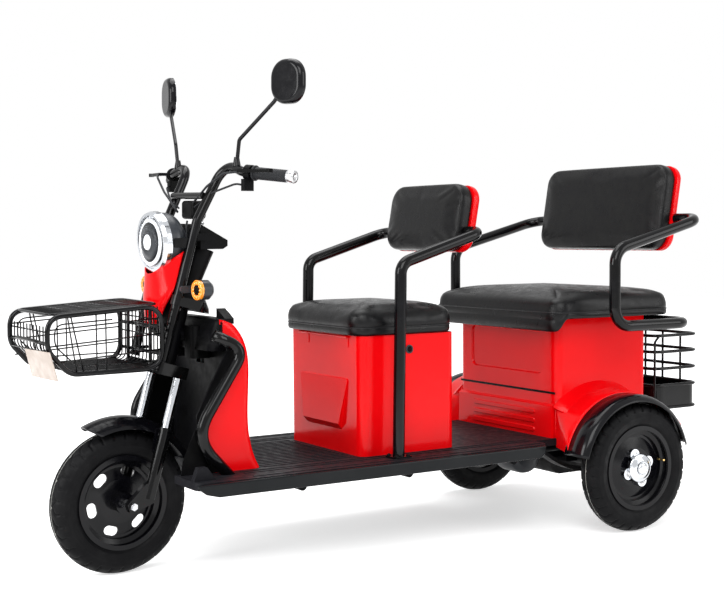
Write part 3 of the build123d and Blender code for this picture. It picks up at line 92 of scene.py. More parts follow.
def set_camera():
    """A long lens ahead and to the left, at the height of the armrests."""
    yaw, pitch, roll = (math.radians(a) for a in CAMERA_TURNS)
    look = Vector((-math.sin(yaw) * math.cos(pitch), -math.cos(yaw) * math.cos(pitch), -math.sin(pitch)))
    right = Vector((-math.cos(yaw), math.sin(yaw), 0))
    up = right.cross(look)
    right, up = right * math.cos(roll) + up * math.sin(roll), up * math.cos(roll) - right * math.sin(roll)
    camera = added("camera", bpy.data.cameras.new("camera"))
    camera.matrix_world = Matrix.Translation(CAMERA_AT) @ Matrix((right, up, -look)).transposed().to_4x4()
    camera.data.lens = CAMERA_LENS
    camera.data.sensor_width = CAMERA_SENSOR
    camera.data.clip_end = CAMERA_FAR
    bpy.context.scene.camera = camera


def add_light(name, place, aim, size, watts):
    """A square softbox at a place, pointed at another."""
    lamp = bpy.data.lights.new(name, "AREA")
    lamp.shape = "RECTANGLE"
    lamp.size, lamp.size_y = size
    lamp.energy = watts
    turn = (Vector(aim) - Vector(place)).to_track_quat("-Z", "Y").to_matrix().to_4x4()
    added(name, lamp).matrix_world = Matrix.Translation(place) @ turn


def combined(tree, operation, first, second):
    """One number out of two, by a Math node."""
    made = tree.nodes.new("ShaderNodeMath")
    made.operation = operation
    tree.links.new(first, made.inputs[0])
    tree.links.new(second, made.inputs[1])
    return made.outputs[0]


def ranged(tree, value, low, high, to_low=0.0, to_high=1.0):
    """A number taken from one range to another, by a Map Range node."""
    made = tree.nodes.new("ShaderNodeMapRange")
    for socket, number in (("From Min", low), ("From Max", high), ("To Min", to_low), ("To Max", to_high)):
        made.inputs[socket].default_value = number
    tree.links.new(value, made.inputs["Value"])
    return made.outputs[0]


def set_world(level):
    """White behind everything that is seen or mirrored, and a softer white that lights the object."""
    world = bpy.data.worlds.new("studio")
    bpy.context.scene.world = world
    world.use_nodes = True
    tree = world.node_tree
    nodes, links = tree.nodes, tree.links
    nodes.clear()
    rays = nodes.new("ShaderNodeLightPath").outputs
    through = combined(tree, "MAXIMUM", rays["Is Transmission Ray"], rays["Is Glossy Ray"])
    mix = nodes.new("ShaderNodeMixShader")
    links.new(combined(tree, "MAXIMUM", rays["Is Camera Ray"], through), mix.inputs["Fac"])
    for socket, strength in ((1, level), (2, 1.0)):
        white = nodes.new("ShaderNodeBackground")
        white.inputs["Color"].default_value = (1, 1, 1, 1)
        white.inputs["Strength"].default_value = strength
        links.new(white.outputs[0], mix.inputs[socket])
    links.new(mix.outputs[0], nodes.new("ShaderNodeOutputWorld").inputs["Surface"])


# ---- materials ----
COAT_ROUGH = 0.04
TINT_DETAIL = 6
TINT_RANGE, ROUGH_RANGE = (0.4, 0.7), (0.35, 0.65)
LEAST_ROUGH = 0.02


def texture(tree, kind, scale, detail=4.0):
    """A procedural texture on object coordinates; its scale is in cells per metre."""
    nodes, links = tree.nodes, tree.links
    place = nodes.get("place") or nodes.new("ShaderNodeTexCoord")
    place.name = "place"
    made = nodes.new({"noise": "ShaderNodeTexNoise", "cells": "ShaderNodeTexVoronoi"}[kind])
    made.inputs["Scale"].default_value = scale
    if kind == "noise":
        made.inputs["Detail"].default_value = detail
    links.new(place.outputs["Object"], made.inputs["Vector"])
    return made.outputs["Distance" if kind == "cells" else "Fac"]


def material(name, colour, rough, swing=0.0, metal=0.0, coat=0.0, glass=0.0, ior=1.5, tint=None,
             tint_scale=9.0, rough_scale=40.0, grain=(), glow=0.0, shine=0.5):
    """tint is a second colour that drifts over the first; grain lists bump layers: kind, scale and depth."""
    made = bpy.data.materials.new(name)
    made.use_nodes = True
    tree = made.node_tree
    nodes, links = tree.nodes, tree.links
    put = nodes["Principled BSDF"].inputs
    put["Base Color"].default_value = (*colour, 1)
    for socket, number in (("Roughness", rough), ("Metallic", metal), ("Coat Weight", coat),
                           ("Coat Roughness", COAT_ROUGH), ("Transmission Weight", glass), ("IOR", ior),
                           ("Specular IOR Level", shine)):
        put[socket].default_value = number
    if glow:
        put["Emission Color"].default_value = (*colour, 1)
        put["Emission Strength"].default_value = glow
    if tint:
        mix = nodes.new("ShaderNodeMix")
        mix.data_type = "RGBA"
        mix.inputs[6].default_value = (*colour, 1)
        mix.inputs[7].default_value = (*tint, 1)
        links.new(ranged(tree, texture(tree, "noise", tint_scale, TINT_DETAIL), *TINT_RANGE), mix.inputs[0])
        links.new(mix.outputs[2], put["Base Color"])
    if swing:
        links.new(ranged(tree, texture(tree, "noise", rough_scale), *ROUGH_RANGE,
                         max(rough - swing, LEAST_ROUGH), rough + swing), put["Roughness"])
    last = None
    for kind, scale, depth in grain:
        bump = nodes.new("ShaderNodeBump")
        bump.inputs["Strength"].default_value = 1.0
        bump.inputs["Distance"].default_value = depth
        links.new(texture(tree, kind, scale), bump.inputs["Height"])
        if last:
            links.new(last, bump.inputs["Normal"])
        last = bump.outputs["Normal"]
    if last:
        links.new(last, put["Normal"])
    return made


RED = material("red_moulding", (0.79, 0.002, 0.004), 0.15, 0.05, shine=0.13, tint=(0.70, 0.001, 0.003),
               tint_scale=3, grain=[("noise", 9, 0.0006), ("noise", 240, 0.00002)])
GLOSS = material("black_moulding", (0.002, 0.002, 0.003), 0.15, 0.05, shine=0.18,
                 tint=(0.004, 0.004, 0.005), grain=[("noise", 12, 0.0004), ("noise", 260, 0.00002)])
ENAMEL = material("black_enamel", (0.002, 0.002, 0.002), 0.13, 0.05, shine=0.18, tint=(0.003, 0.003, 0.004),
                  grain=[("noise", 300, 0.00004)])
SATIN = material("black_satin", (0.002, 0.002, 0.002), 0.42, 0.08, shine=0.06, tint=(0.004, 0.004, 0.005),
                 grain=[("noise", 600, 0.00006)])
DECK = material("deck_grey", (0.008, 0.008, 0.010), 0.5, 0.1, shine=0.08, tint=(0.012, 0.012, 0.014),
                tint_scale=14, grain=[("cells", 500, 0.0001)])
SILL = material("sill_grey", (0.005, 0.006, 0.007), 0.2, 0.06, shine=0.12, tint=(0.008, 0.009, 0.010),
                grain=[("noise", 200, 0.00004)])
CHASSIS = material("chassis_black", (0.002, 0.002, 0.003), 0.45, 0.12, shine=0.06,
                   tint=(0.004, 0.004, 0.004), grain=[("noise", 160, 0.00015)])
VINYL = material("seat_vinyl", (0.0025, 0.0025, 0.003), 0.34, 0.07, shine=0.17, tint=(0.004, 0.004, 0.004),
                 tint_scale=20, grain=[("cells", 420, 0.00022), ("noise", 60, 0.0004)])
PIPING = material("seat_piping", (0.009, 0.009, 0.010), 0.36, 0.06, shine=0.2,
                  grain=[("noise", 500, 0.0001)])
RUBBER = material("tyre_rubber", (0.003, 0.003, 0.0035), 0.52, 0.1, shine=0.08, tint=(0.006, 0.006, 0.0065),
                  tint_scale=16, grain=[("noise", 500, 0.00012)])
# A light grey for the thin band round each tyre's crown: a painted highlight, not a colour of the rubber.
CROWN_HIGHLIGHT = material("painted_crown_highlight", (0.30, 0.30, 0.28), 0.6, 0.05, shine=0.2)
GRIP = material("grip_rubber", (0.014, 0.015, 0.017), 0.55, 0.08, shine=0.2, grain=[("noise", 700, 0.0001)])
CHROME = material("chrome", (0.60, 0.62, 0.65), 0.13, 0.04, metal=1.0, rough_scale=70,
                  grain=[("noise", 30, 0.0002)])
ZINC = material("zinc_plate", (0.50, 0.51, 0.53), 0.3, 0.1, metal=1.0, tint=(0.5, 0.5, 0.5),
                grain=[("noise", 400, 0.00006)])
CAST = material("cast_black", (0.004, 0.004, 0.005), 0.5, 0.12, shine=0.12, tint=(0.009, 0.008, 0.007),
                grain=[("noise", 220, 0.0003)])
GLASS = material("clear_lens", (0.97, 0.98, 1.0), 0.03, 0.01, glass=1.0, ior=1.3)
AMBER = material("amber_lens", (1.0, 0.36, 0.01), 0.12, 0.03, coat=1.0, glass=0.25,
                 grain=[("cells", 260, 0.0007)], glow=0.15)
REDLENS = material("red_lens", (0.75, 0.01, 0.01), 0.1, 0.03, coat=1.0, glass=0.3,
                   grain=[("cells", 300, 0.0006)])
MIRROR = material("mirror_glass", (0.92, 0.93, 0.95), 0.02, 0.01, metal=1.0)
BRASS = material("brass", (0.75, 0.52, 0.2), 0.25, 0.08, metal=1.0)
PLATE = material("blank_plate", (0.40, 0.34, 0.30), 0.45, shine=0.2, tint=(0.52, 0.46, 0.42), tint_scale=30,
                 grain=[("noise", 90, 0.0003)])
LAMP_WHITE = material("lamp_white", (0.9, 0.92, 0.95), 0.25, 0.05, coat=0.5, glow=0.25)
HOUSING = material("lamp_grey", (0.022, 0.025, 0.030), 0.34, 0.06, shine=0.3, tint=(0.032, 0.035, 0.040),
                   grain=[("noise", 500, 0.00005)])
SCREEN = material("dial_glass", (0.01, 0.012, 0.014), 0.08, 0.02, coat=1.0)

DRESS = (
    (RED, "leg_shield front_panel front_seat_box rear_seat_box front_backrest_shell rear_backrest_shell "
          "seat_hinges"),
    (GLOSS, "front_fender rear_fender_left rear_fender_right mirrors "
            "front_rim rear_left_rim rear_right_rim"),
    (ENAMEL, "guard_tubes front_seat_arms rear_seat_arms fork_legs fork_crown handlebar "
             "front_basket front_basket_lid rear_basket"),
    (SATIN, "front_cowl battery_pack levers dash"), (DECK, "floor_deck"), (SILL, "side_sills"),
    (CHASSIS, "chassis_frame"), (CAST, "rear_axle rear_leaf_springs"), (ZINC, "front_axle"),
    (VINYL, "front_backrest_pad rear_backrest_pad front_cushion rear_cushion"), (GRIP, "grips"),
    (RUBBER, "front_tyre rear_left_tyre rear_right_tyre"), (HOUSING, "headlight_bowl turn_signals"),
    (CHROME, "fork_tubes headlight_ring rear_left_hub rear_right_hub"),
    (GLASS, "headlight_lens"), (AMBER, "turn_lenses"), (REDLENS, "tail_lamps"),
)
for finish, names in DRESS:
    for name in names.split():
        NODES[name].data.materials.clear()
        NODES[name].data.materials.append(finish)


# ---- mesh helpers ----
def piece_from(name, points, faces, finish, body, slot, smooth=True, ahead=True):
    """A mesh piece that rides on a body; a steered one is made straight ahead and turned as it is parked."""
    mesh = bpy.data.meshes.new(name)
    mesh.from_pydata([tuple(p) for p in points], [], faces)
    mesh.update()
    if ahead and body in STEERED:
        mesh.transform(TURNED)
    mesh.materials.append(finish)
    if smooth:
        mesh.polygons.foreach_set("use_smooth", [True] * len(mesh.polygons))
    piece = added(name, mesh)
    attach(piece, body)
    return piece


def loft(rings, wrap=False):
    """Points and faces through closed rings of as many points; wrap joins the last ring to the first."""
    rings = np.asarray(rings, float)
    rows, columns = rings.shape[:2]
    faces = []
    for i in range(rows if wrap else rows - 1):
        j = (i + 1) % rows
        for k in range(columns):
            n = (k + 1) % columns
            faces.append((i * columns + k, i * columns + n, j * columns + n, j * columns + k))
    if not wrap:
        faces.append(tuple(range(columns - 1, -1, -1)))
        faces.append(tuple(range((rows - 1) * columns, rows * columns)))
    return rings.reshape(-1, 3), faces


def joined(parts):
    """Several sets of points and faces as one."""
    points, faces = [], []
    for some, those in parts:
        start = len(points)
        points.extend(tuple(p) for p in some)
        faces.extend(tuple(start + i for i in face) for face in those)
    return points, faces


def circle(steps):
    """The angles of evenly spaced points round a circle."""
    return [2 * math.pi * k / steps for k in range(steps)]


def basis(way):
    """Two directions square to way and to each other."""
    way = Vector(way).normalized()
    near = Vector((0, 0, 1)) if abs(way.z) < 0.9 else Vector((1, 0, 0))
    side = near.cross(way).normalized()
    return side, way.cross(side)


def lathe(profile, origin, way, steps=48):
    """A turned form: profile lists how far along way and the radius there, in metres."""
    way = Vector(way).normalized()
    side, up = basis(way)
    rings = []
    for along, radius in profile:
        middle = Vector(origin) + way * along
        rings.append([middle + (side * math.cos(a) + up * math.sin(a)) * radius for a in circle(steps)])
    return loft(rings)


def turned_ring(profile, origin, way, steps=48):
    """A turned form whose profile closes on itself, so that its middle stays open."""
    last = (len(profile) - 1) * steps
    points, faces = lathe(profile, origin, way, steps)
    closing = [(last + k, last + (k + 1) % steps, (k + 1) % steps, k) for k in range(steps)]
    return points, faces[:-2] + closing


def rounded_path(points, radius, closed=False, steps=7):
    """The line through points with each corner rounded off."""
    points = [Vector(p) for p in points]
    count = len(points)
    path = []
    for i, corner in enumerate(points):
        if not closed and i in (0, count - 1):
            path.append(corner)
            continue
        before, after = points[i - 1] - corner, points[(i + 1) % count] - corner
        half = before.angle(after) / 2
        cut = min(radius / math.tan(half), before.length * 0.49, after.length * 0.49)
        start, end = corner + before.normalized() * cut, corner + after.normalized() * cut
        for k in range(steps + 1):
            t = k / steps
            path.append((1 - t) ** 2 * start + 2 * t * (1 - t) * corner + t * t * end)
    return path


def tube(path, radius, closed=False, sides=10):
    """A round bar along a path of points."""
    path = [Vector(p) for p in path]
    count = len(path)
    rings, side = [], None
    for i, middle in enumerate(path):
        ahead = path[(i + 1) % count] if closed or i < count - 1 else middle
        behind = path[i - 1] if closed or i > 0 else middle
        way = (ahead - behind).normalized()
        side = basis(way)[0] if side is None else (side - way * side.dot(way)).normalized()
        up = way.cross(side)
        rings.append([middle + (side * math.cos(a) + up * math.sin(a)) * radius for a in circle(sides)])
    return loft(rings, closed)


def slab(corners, way, thick):
    """A flat plate: its corners, and the direction it is thick in."""
    step = Vector(way).normalized() * thick
    corners = [Vector(c) for c in corners]
    return loft([corners, [c + step for c in corners]])


def outline(half_x, half_y, corner, corner_steps=8, side_steps=18):
    """A rounded rectangle as points, with straight sides divided evenly."""
    corner = min(corner, half_x, half_y)
    arcs = []
    for turn in range(4):
        cx = (half_x - corner) * (1 if turn in (0, 3) else -1)
        cy = (half_y - corner) * (1 if turn in (0, 1) else -1)
        arcs.append([(cx + corner * math.cos(a), cy + corner * math.sin(a))
                     for a in (math.pi / 2 * (turn + k / corner_steps) for k in range(corner_steps + 1))])
    points = []
    for turn, arc in enumerate(arcs):
        (x0, y0), (x1, y1) = arc[-1], arcs[(turn + 1) % 4][0]
        points += arc
        points += [(x0 + (x1 - x0) * k / side_steps, y0 + (y1 - y0) * k / side_steps)
                   for k in range(1, side_steps)]
    return points


def ease(low, high, value):
    """How far value is from low to high, eased at both ends."""
    t = min(max((value - low) / (high - low), 0), 1)
    return t * t * (3 - 2 * t)


# ---- wheels ----
def arc_through(a, b, c, count):
    """Points on the circle through a, b and c, from a to c."""
    a, b, c = (complex(*p) for p in (a, b, c))
    ratio = (c - a) / (b - a)
    centre = a + (b - a) * (ratio - abs(ratio) ** 2) / (2j * ratio.imag)
    span = cmath.phase((c - centre) / (a - centre)) % (2 * math.pi)
    if cmath.phase((b - centre) / (a - centre)) % (2 * math.pi) > span:
        span -= 2 * math.pi
    arc = [centre + (a - centre) * cmath.exp(1j * span * k / (count - 1)) for k in range(count)]
    return [(p.real, p.imag) for p in arc]


BEAD_R, BEAD_HALF = 0.1275, 0.0300
WALL_FOOT, WALL_R = (0.0307, 0.140), (0.137 + TYRE_R) / 2
SHOULDER = (TYRE_HALF * 0.8, TYRE_R - 0.014)
TREAD_LOW = TYRE_R - 0.0235
TREAD_STEPS, TREAD_BLOCKS, TREAD_DEPTH, TREAD_EASE = 420, 34, 0.0055, 0.004
SWEEP, WAVE, SLIT_SWEEP = 1.15, 0.16, 0.7
GROOVE_HALF, GROOVE_FROM, SLIT_HALF, SLIT_TO, SLIT_DEPTH = 0.085, 0.2, 0.05, 0.62, 0.8
HAIR = 1e-6
WALL_RINGS, WALL_RING_WIDTH, WALL_RING_RISE = (0.146, 0.151, 0.167, 0.182), 0.0011, 0.0014
# The painted highlight band on the tyre crown: how far off the crown's middle, its half width, its rise and
# its depth.
HIGHLIGHT_AT, HIGHLIGHT_HALF, HIGHLIGHT_RISE, HIGHLIGHT_DEEP = 0.004, 0.0007, 0.0001, 0.004


def tyre(name, node, body, centre, spin_axis):
    """A scooter tyre: a round crown with slits and swept shoulder grooves, and ringed walls."""
    wall = arc_through(WALL_FOOT, (TYRE_HALF, WALL_R), SHOULDER, 17)
    crown = arc_through(SHOULDER, (0, TYRE_R), (-SHOULDER[0], SHOULDER[1]), 37)[1:-1]
    profile = [(BEAD_HALF, BEAD_R), *wall, *crown, *[(-y, r) for y, r in wall[::-1]], (-BEAD_HALF, BEAD_R)]
    y, r = np.array(profile).T[:, None, :]
    turn = np.linspace(0, 2 * math.pi, TREAD_STEPS, endpoint=False)[:, None]
    share = np.abs(y) / TYRE_HALF
    beat = turn * TREAD_BLOCKS / (2 * math.pi) + np.where(y > -HAIR, 0.0, 0.5)
    swept = (beat - SWEEP * share + WAVE * np.sin(share * 9)) % 1.0
    groove = np.clip(1.4 - np.abs(swept - 0.5) / GROOVE_HALF, 0, 1)
    groove = groove * np.clip((share - GROOVE_FROM) / 0.08, 0, 1)
    slit = np.clip(1.2 - np.abs((beat * 0.5 + SLIT_SWEEP * share) % 1.0 - 0.5) / SLIT_HALF, 0, 1)
    slit = slit * np.clip((SLIT_TO - share) / 0.06, 0, 1)
    cut = np.where(r > TREAD_LOW, np.maximum(groove, SLIT_DEPTH * slit), 0) * TREAD_DEPTH
    radius = r - cut * np.clip((r - TREAD_LOW) / TREAD_EASE, 0, 1)
    rings = sum(np.exp(-((r - at_r) / WALL_RING_WIDTH) ** 2) for at_r in WALL_RINGS)
    out_y = y + np.sign(y) * np.where(r < TREAD_LOW, rings * WALL_RING_RISE, 0)
    along, up = (np.array(v) for v in basis(spin_axis))
    spin = np.array(Vector(spin_axis).normalized())
    radial = np.cos(turn)[..., None] * along + np.sin(turn)[..., None] * up
    wheel = np.array(centre) + spin * out_y[..., None] + radius[..., None] * radial
    piece = piece_from(name, *loft(wheel, True), RUBBER, body, "tyre")
    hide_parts(node)


FRONT_LOW, FRONT_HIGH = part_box("front_tyre")
FRONT_CENTRE = (FRONT_LOW + FRONT_HIGH) / 2
FRONT_SPIN = Vector(JOINTS["front_wheel_spin"]["axis"])
REAR_SPIN = Vector((0, 1, 0))
REAR_CENTRES = {side: Vector((AXLE_X, sign * TRACK_HALF, TYRE_R)) for side, sign in SIDES}
for side, _ in SIDES:
    tyre(f"{side}_tread_tyre", f"rear_{side}_tyre", f"rear_{side}_wheel", REAR_CENTRES[side], REAR_SPIN)
tyre("front_tread_tyre", "front_tyre", "front_wheel", FRONT_CENTRE, FRONT_SPIN)
# A light grey band round each tyre's crown, a little off its middle: a painted highlight, not a line moulded
# in the rubber.
for name, middle, way, body in (("front", FRONT_CENTRE, FRONT_SPIN, "front_wheel"),
                                ("left", REAR_CENTRES["left"], REAR_SPIN, "rear_left_wheel"),
                                ("right", REAR_CENTRES["right"], REAR_SPIN, "rear_right_wheel")):
    top = TYRE_R + HIGHLIGHT_RISE
    line = [(-HIGHLIGHT_HALF, top), (HIGHLIGHT_HALF, top), (HIGHLIGHT_HALF, top - HIGHLIGHT_DEEP),
            (-HIGHLIGHT_HALF, top - HIGHLIGHT_DEEP)]
    band = turned_ring(line, middle + way.normalized() * HIGHLIGHT_AT, way, 120)
    piece_from(f"{name}_painted_crown_highlight", *band, CROWN_HIGHLIGHT, body, "tyre")

# ---- seats ----
FIRST_FRAME, LAST_FRAME = 1, 20
COVER_STRETCH, COVER_BEND = 60, 4
CROWN_STEPS = (0.04, 0.09, 0.16, 0.24, 0.33, 0.43, 0.53, 0.63, 0.73, 0.83, 0.92, 0.97)
CROWN_POWER = 2.6
LEAST_CORNER = 0.008


def applied(piece):
    """Turn a piece's modifiers into its mesh."""
    mesh = bpy.data.meshes.new_from_object(piece.evaluated_get(bpy.context.evaluated_depsgraph_get()))
    piece.modifiers.clear()
    piece.data = mesh
    return piece


def swell(piece, seams, pressure, most):
    """Blow the cover up a little between its seams, as foam does under tight vinyl."""
    group = piece.vertex_groups.new(name="seams")
    group.add(seams, 1.0, "REPLACE")
    before = np.array([v.co for v in piece.data.vertices])
    cloth = piece.modifiers.new("cover", "CLOTH")
    cloth.settings.use_pressure = True
    cloth.settings.uniform_pressure_force = pressure
    cloth.settings.effector_weights.gravity = 0
    cloth.settings.vertex_group_mass = "seams"
    cloth.settings.tension_stiffness = COVER_STRETCH
    cloth.settings.compression_stiffness = COVER_STRETCH
    cloth.settings.bending_stiffness = COVER_BEND
    scene = bpy.context.scene
    cloth.point_cache.frame_start, cloth.point_cache.frame_end = FIRST_FRAME, LAST_FRAME
    for step in range(FIRST_FRAME, LAST_FRAME + 1):
        scene.frame_set(step)
    settled = piece.evaluated_get(bpy.context.evaluated_depsgraph_get())
    after = np.array([v.co for v in settled.data.vertices])
    piece.modifiers.remove(cloth)
    scene.frame_set(FIRST_FRAME)
    shift = after - before
    length = np.linalg.norm(shift, axis=1, keepdims=True)
    shift *= np.minimum(1, most / np.maximum(length, 1e-9))
    piece.data.vertices.foreach_set("co", (before + shift).astype(np.float32).ravel())
    piece.data.update()
    piece.vertex_groups.remove(group)


def smooth_more(piece):
    """One level of subdivision, applied."""
    more = piece.modifiers.new("smooth", "SUBSURF")
    more.levels = more.render_levels = 1
    applied(piece)


def pad(name, node, body, place, half_x, half_y, corner, profile, seam_rows, crown, pressure, most,
        shape=None):
    """A stuffed pad: profile lists inset and height, and a row of it may be a seam; crown domes its top."""
    rings = []
    for inset, height in profile:
        ring = outline(half_x - inset, half_y - inset, max(corner - inset, LEAST_CORNER))
        rings.append([Vector((x, y, height)) for x, y in ring])
    inset, top = profile[-1]
    for share in CROWN_STEPS:
        keep = 1 - share
        height = top + crown * (1 - keep ** CROWN_POWER)
        ring = outline((half_x - inset) * keep, (half_y - inset) * keep,
                       max(corner - inset, LEAST_CORNER) * keep)
        rings.append([Vector((x, y, height)) for x, y in ring])
    if shape:
        rings = [[shape(p) for p in ring] for ring in rings]
    piece = piece_from(name, *loft([[place @ p for p in ring] for ring in rings]), VINYL, body, "vinyl")
    around = len(rings[0])
    swell(piece, [row * around + k for row in seam_rows for k in range(around)], pressure, most)
    smooth_more(piece)
    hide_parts(node)


def seat_pad(name, node, body, low, height, crown, seam_at, shape=None):
    """A seat cushion with a sewn line round its side."""
    bottom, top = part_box(node)
    middle = (bottom + top) / 2
    half_x, half_y = (top.x - bottom.x) / 2, (top.y - bottom.y) / 2
    place = Matrix.Translation((middle.x, middle.y, low))
    profile = [(0.016, 0.0), (0.006, 0.001), (0.002, 0.006), (0.001, seam_at - 0.010),
               (0.0025, seam_at - 0.002), (0.004, seam_at), (0.0025, seam_at + 0.002),
               (0.000, seam_at + 0.012), (0.001, height - 0.030), (0.005, height - 0.018),
               (0.013, height - 0.008), (0.024, height - 0.002), (0.036, height)]
    pad(name, node, body, place, half_x, half_y, 0.055, profile, (0, 5), crown, 3.0, 0.005, shape)


F_LOW, F_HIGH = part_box("front_cushion")
R_LOW, R_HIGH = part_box("rear_cushion")
BOX_LOW, BOX_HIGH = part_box("rear_seat_box")
NOSE_DROP = BOX_HIGH.z - R_LOW.z
NOSE_AT = BOX_HIGH.x - (R_LOW.x + R_HIGH.x) / 2
SKIRT_HEIGHT, FRONT_FALL = 0.05, 0.010


def droop(p):
    """The bench's front edge hangs over its box."""
    fall = ease(NOSE_AT + 0.004, NOSE_AT + 0.03, p.x) * NOSE_DROP * min(max(1 - p.z / SKIRT_HEIGHT, 0), 1)
    slope = -FRONT_FALL * ease(0.10, (R_HIGH.x - R_LOW.x) / 2, p.x)
    return Vector((p.x, p.y, p.z - fall + (slope if p.z > 0.03 else 0)))


seat_pad("front_seat_cover", "front_cushion", "front_seat", F_LOW.z + 0.0005, F_HIGH.z - F_LOW.z - 0.012,
         0.011, 0.024)
seat_pad("rear_seat_cover", "rear_cushion", "rear_seat", BOX_HIGH.z + 0.0008, R_HIGH.z - BOX_HIGH.z - 0.013,
         0.012, 0.022, droop)


def back_pad(name, node, low, top, half, thick):
    """A backrest pad: low and top are its face's edges in x and z, and it is thick towards the back."""
    low, top = at(low[0], 0, low[1]), at(top[0], 0, top[1])
    up = top - low
    back = Vector((-up.z, 0, up.x)).normalized()
    place = Matrix((Vector((0, 1, 0)), up.normalized(), -back)).transposed().to_4x4()
    place.translation = (low + top) / 2 + back * thick
    profile = [(0.010, 0.0), (0.003, 0.001), (0.000, 0.006), (0.000, thick * 0.5), (0.000, thick - 0.022),
               (0.0015, thick - 0.014), (0.004, thick - 0.010), (0.006, thick - 0.0075),
               (0.013, thick - 0.0035), (0.024, thick - 0.001)]
    pad(name, node, "chassis", place, half, up.length / 2, 0.058, profile, (0, 6), 0.001, 2.5, 0.004)


back_pad("front_back_cover", "front_backrest_pad", (566, 920), (527, 1131), 0.203, 0.051)
back_pad("rear_back_cover", "rear_backrest_pad", (-198, 915), (-248, 1204), 0.312, 0.051)

# ---- bars, baskets and plates ----
def forms(name, parts, finish, body, slot, smooth=True, ahead=True):
    """Several closed forms as one piece."""
    return piece_from(name, *joined(parts), finish, body, slot, smooth, ahead)


def bars(name, paths, radius, finish, body, slot, closed=False, sides=8):
    """Several round bars or wires as one piece."""
    return forms(name, [tube(path, radius, closed, sides) for path in paths], finish, body, slot)


def edged(piece, width=0.0012, segments=2):
    """Round a piece's sharp edges."""
    soften = piece.modifiers.new("edges", "BEVEL")
    soften.width, soften.segments, soften.limit_method, soften.angle_limit = width, segments, "ANGLE", 0.6
    return applied(piece)


def block(low, high):
    """A plain block between two corners, in millimetres."""
    (x0, y0, z0), (x1, y1, z1) = low, high
    corners = [at(x, y, z0) for x, y in ((x0, y0), (x1, y0), (x1, y1), (x0, y1))]
    return slab(corners, (0, 0, 1), (z1 - z0) / 1000)


def dome(origin, way, radius, rise, steps=20):
    """A bolt's domed head on its washer."""
    return lathe([(0, radius * 1.35), (0.0012, radius * 1.35), (0.0014, radius), (rise * 0.5, radius * 0.95),
                  (rise * 0.85, radius * 0.7), (rise, radius * 0.25)], origin, way, steps)


def across(x, half, z):
    """A line from one side to the other."""
    return [at(x, half, z), at(x, -half, z)]


B_BACK, B_FRONT, B_LOW, B_TOP, B_HALF = 1533, 1872, 600, 768, 132
B_CUT = 68
RIM_RISE, RIM_FALL = 8, 20
THICK_BAR, FRAME_BAR, LID_BAR, WIRE = 0.0072, 0.0052, 0.0036, 0.0021
WIRE_STEP, FLOOR_STEP = 22.5, 36
POST_Y, BRACKET_Y, BRACKET_Z = 70, 68, (640, 714)


def rim_z(x):
    """The basket's top slopes down to the front."""
    return B_TOP + RIM_RISE - (x - B_BACK) * RIM_FALL / (B_FRONT - B_BACK)


def side_corners(y, inset=0):
    """The five corners of a side of the basket, whose lower front is cut off."""
    back, front, low = B_BACK + inset, B_FRONT - inset, B_LOW + inset
    return [at(back, y, low), at(front - 62, y, low), at(front, y, B_LOW + B_CUT + inset / 2),
            at(front, y, rim_z(front) - inset), at(back, y, rim_z(back) - inset)]


def side_wires(sign):
    """The wires of one side of the basket: level ones, upright ones and a loop inside its bar."""
    y, inner_y = sign * B_HALF, sign * B_HALF - sign * 3
    wires = [[at(B_BACK, y, rim_z(B_BACK) - drop), at(B_FRONT - 0.12 * drop, y, rim_z(B_FRONT) - drop)]
             for drop in (34, 78, 122)]
    wires += [[at(B_BACK + top, y, rim_z(B_BACK + top)), at(B_BACK + low, y, B_LOW + 2)]
              for top, low in ((282, 256), (273, 236), (199, 197), (171, 169))]
    loop_end = at(B_BACK + 150, inner_y, rim_z(B_BACK + 150) - 24)
    loop = [at(B_BACK + 4, inner_y, B_LOW + 22)] + side_corners(inner_y, 22)[1:4] + [loop_end]
    return wires + [rounded_path(loop, 0.040)]


loops = [rounded_path(side_corners(sign * B_HALF), 0.058, True, 12) for _, sign in SIDES]
bars("basket_side_loops", loops, THICK_BAR, ENAMEL, "steering", "black_steel", True, 14)
wires = []
for y in (step * WIRE_STEP for step in range(-5, 6)):
    wires.append(rounded_path(
        [at(B_BACK + 4, y, rim_z(B_BACK) - 4), at(B_BACK + 4, y, B_LOW + 5), at(B_FRONT - 64, y, B_LOW + 5),
         at(B_FRONT - 6, y, B_LOW + B_CUT), at(B_FRONT - 6, y, rim_z(B_FRONT) - 26)], 0.026))
wires += [wire for _, sign in SIDES for wire in side_wires(sign)]
wires += [across(x, B_HALF, B_LOW + 2) for x in range(B_BACK + 28, B_FRONT - 60, FLOOR_STEP)]
wires += [across(B_BACK + 1, B_HALF, z) for z in (640, 690, 735)]
wires += [across(B_FRONT - 2, B_HALF - 4, z) for z in (662, 716)]
mesh_wires = bars("basket_wires", wires, WIRE, ENAMEL, "steering", "black_steel")
front_bar = [at(B_FRONT - 1, B_HALF, 684), at(B_FRONT + 8, 40, 690), at(B_FRONT + 8, -40, 690),
             at(B_FRONT - 1, -B_HALF, 684)]
frame_bars = [rounded_path(front_bar, 0.3)] + [across(B_BACK, B_HALF, z) for z in BRACKET_Z]
for _, sign in SIDES:
    frame_bars.append([at(B_BACK + 5, sign * POST_Y, z) for z in (rim_z(B_BACK) - 4, B_LOW)])
    frame_bars += [[at(steer_x(z) + 42, sign * BRACKET_Y, z), at(B_BACK, sign * BRACKET_Y, z)]
                   for z in BRACKET_Z]
bars("basket_crossbars", frame_bars, FRAME_BAR, ENAMEL, "steering", "black_steel", sides=12)
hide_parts("front_basket")


def lid_at(x, y):
    """A point of the lid, which lies on the basket's rim."""
    return at(x, y, rim_z(x) + 4.6)


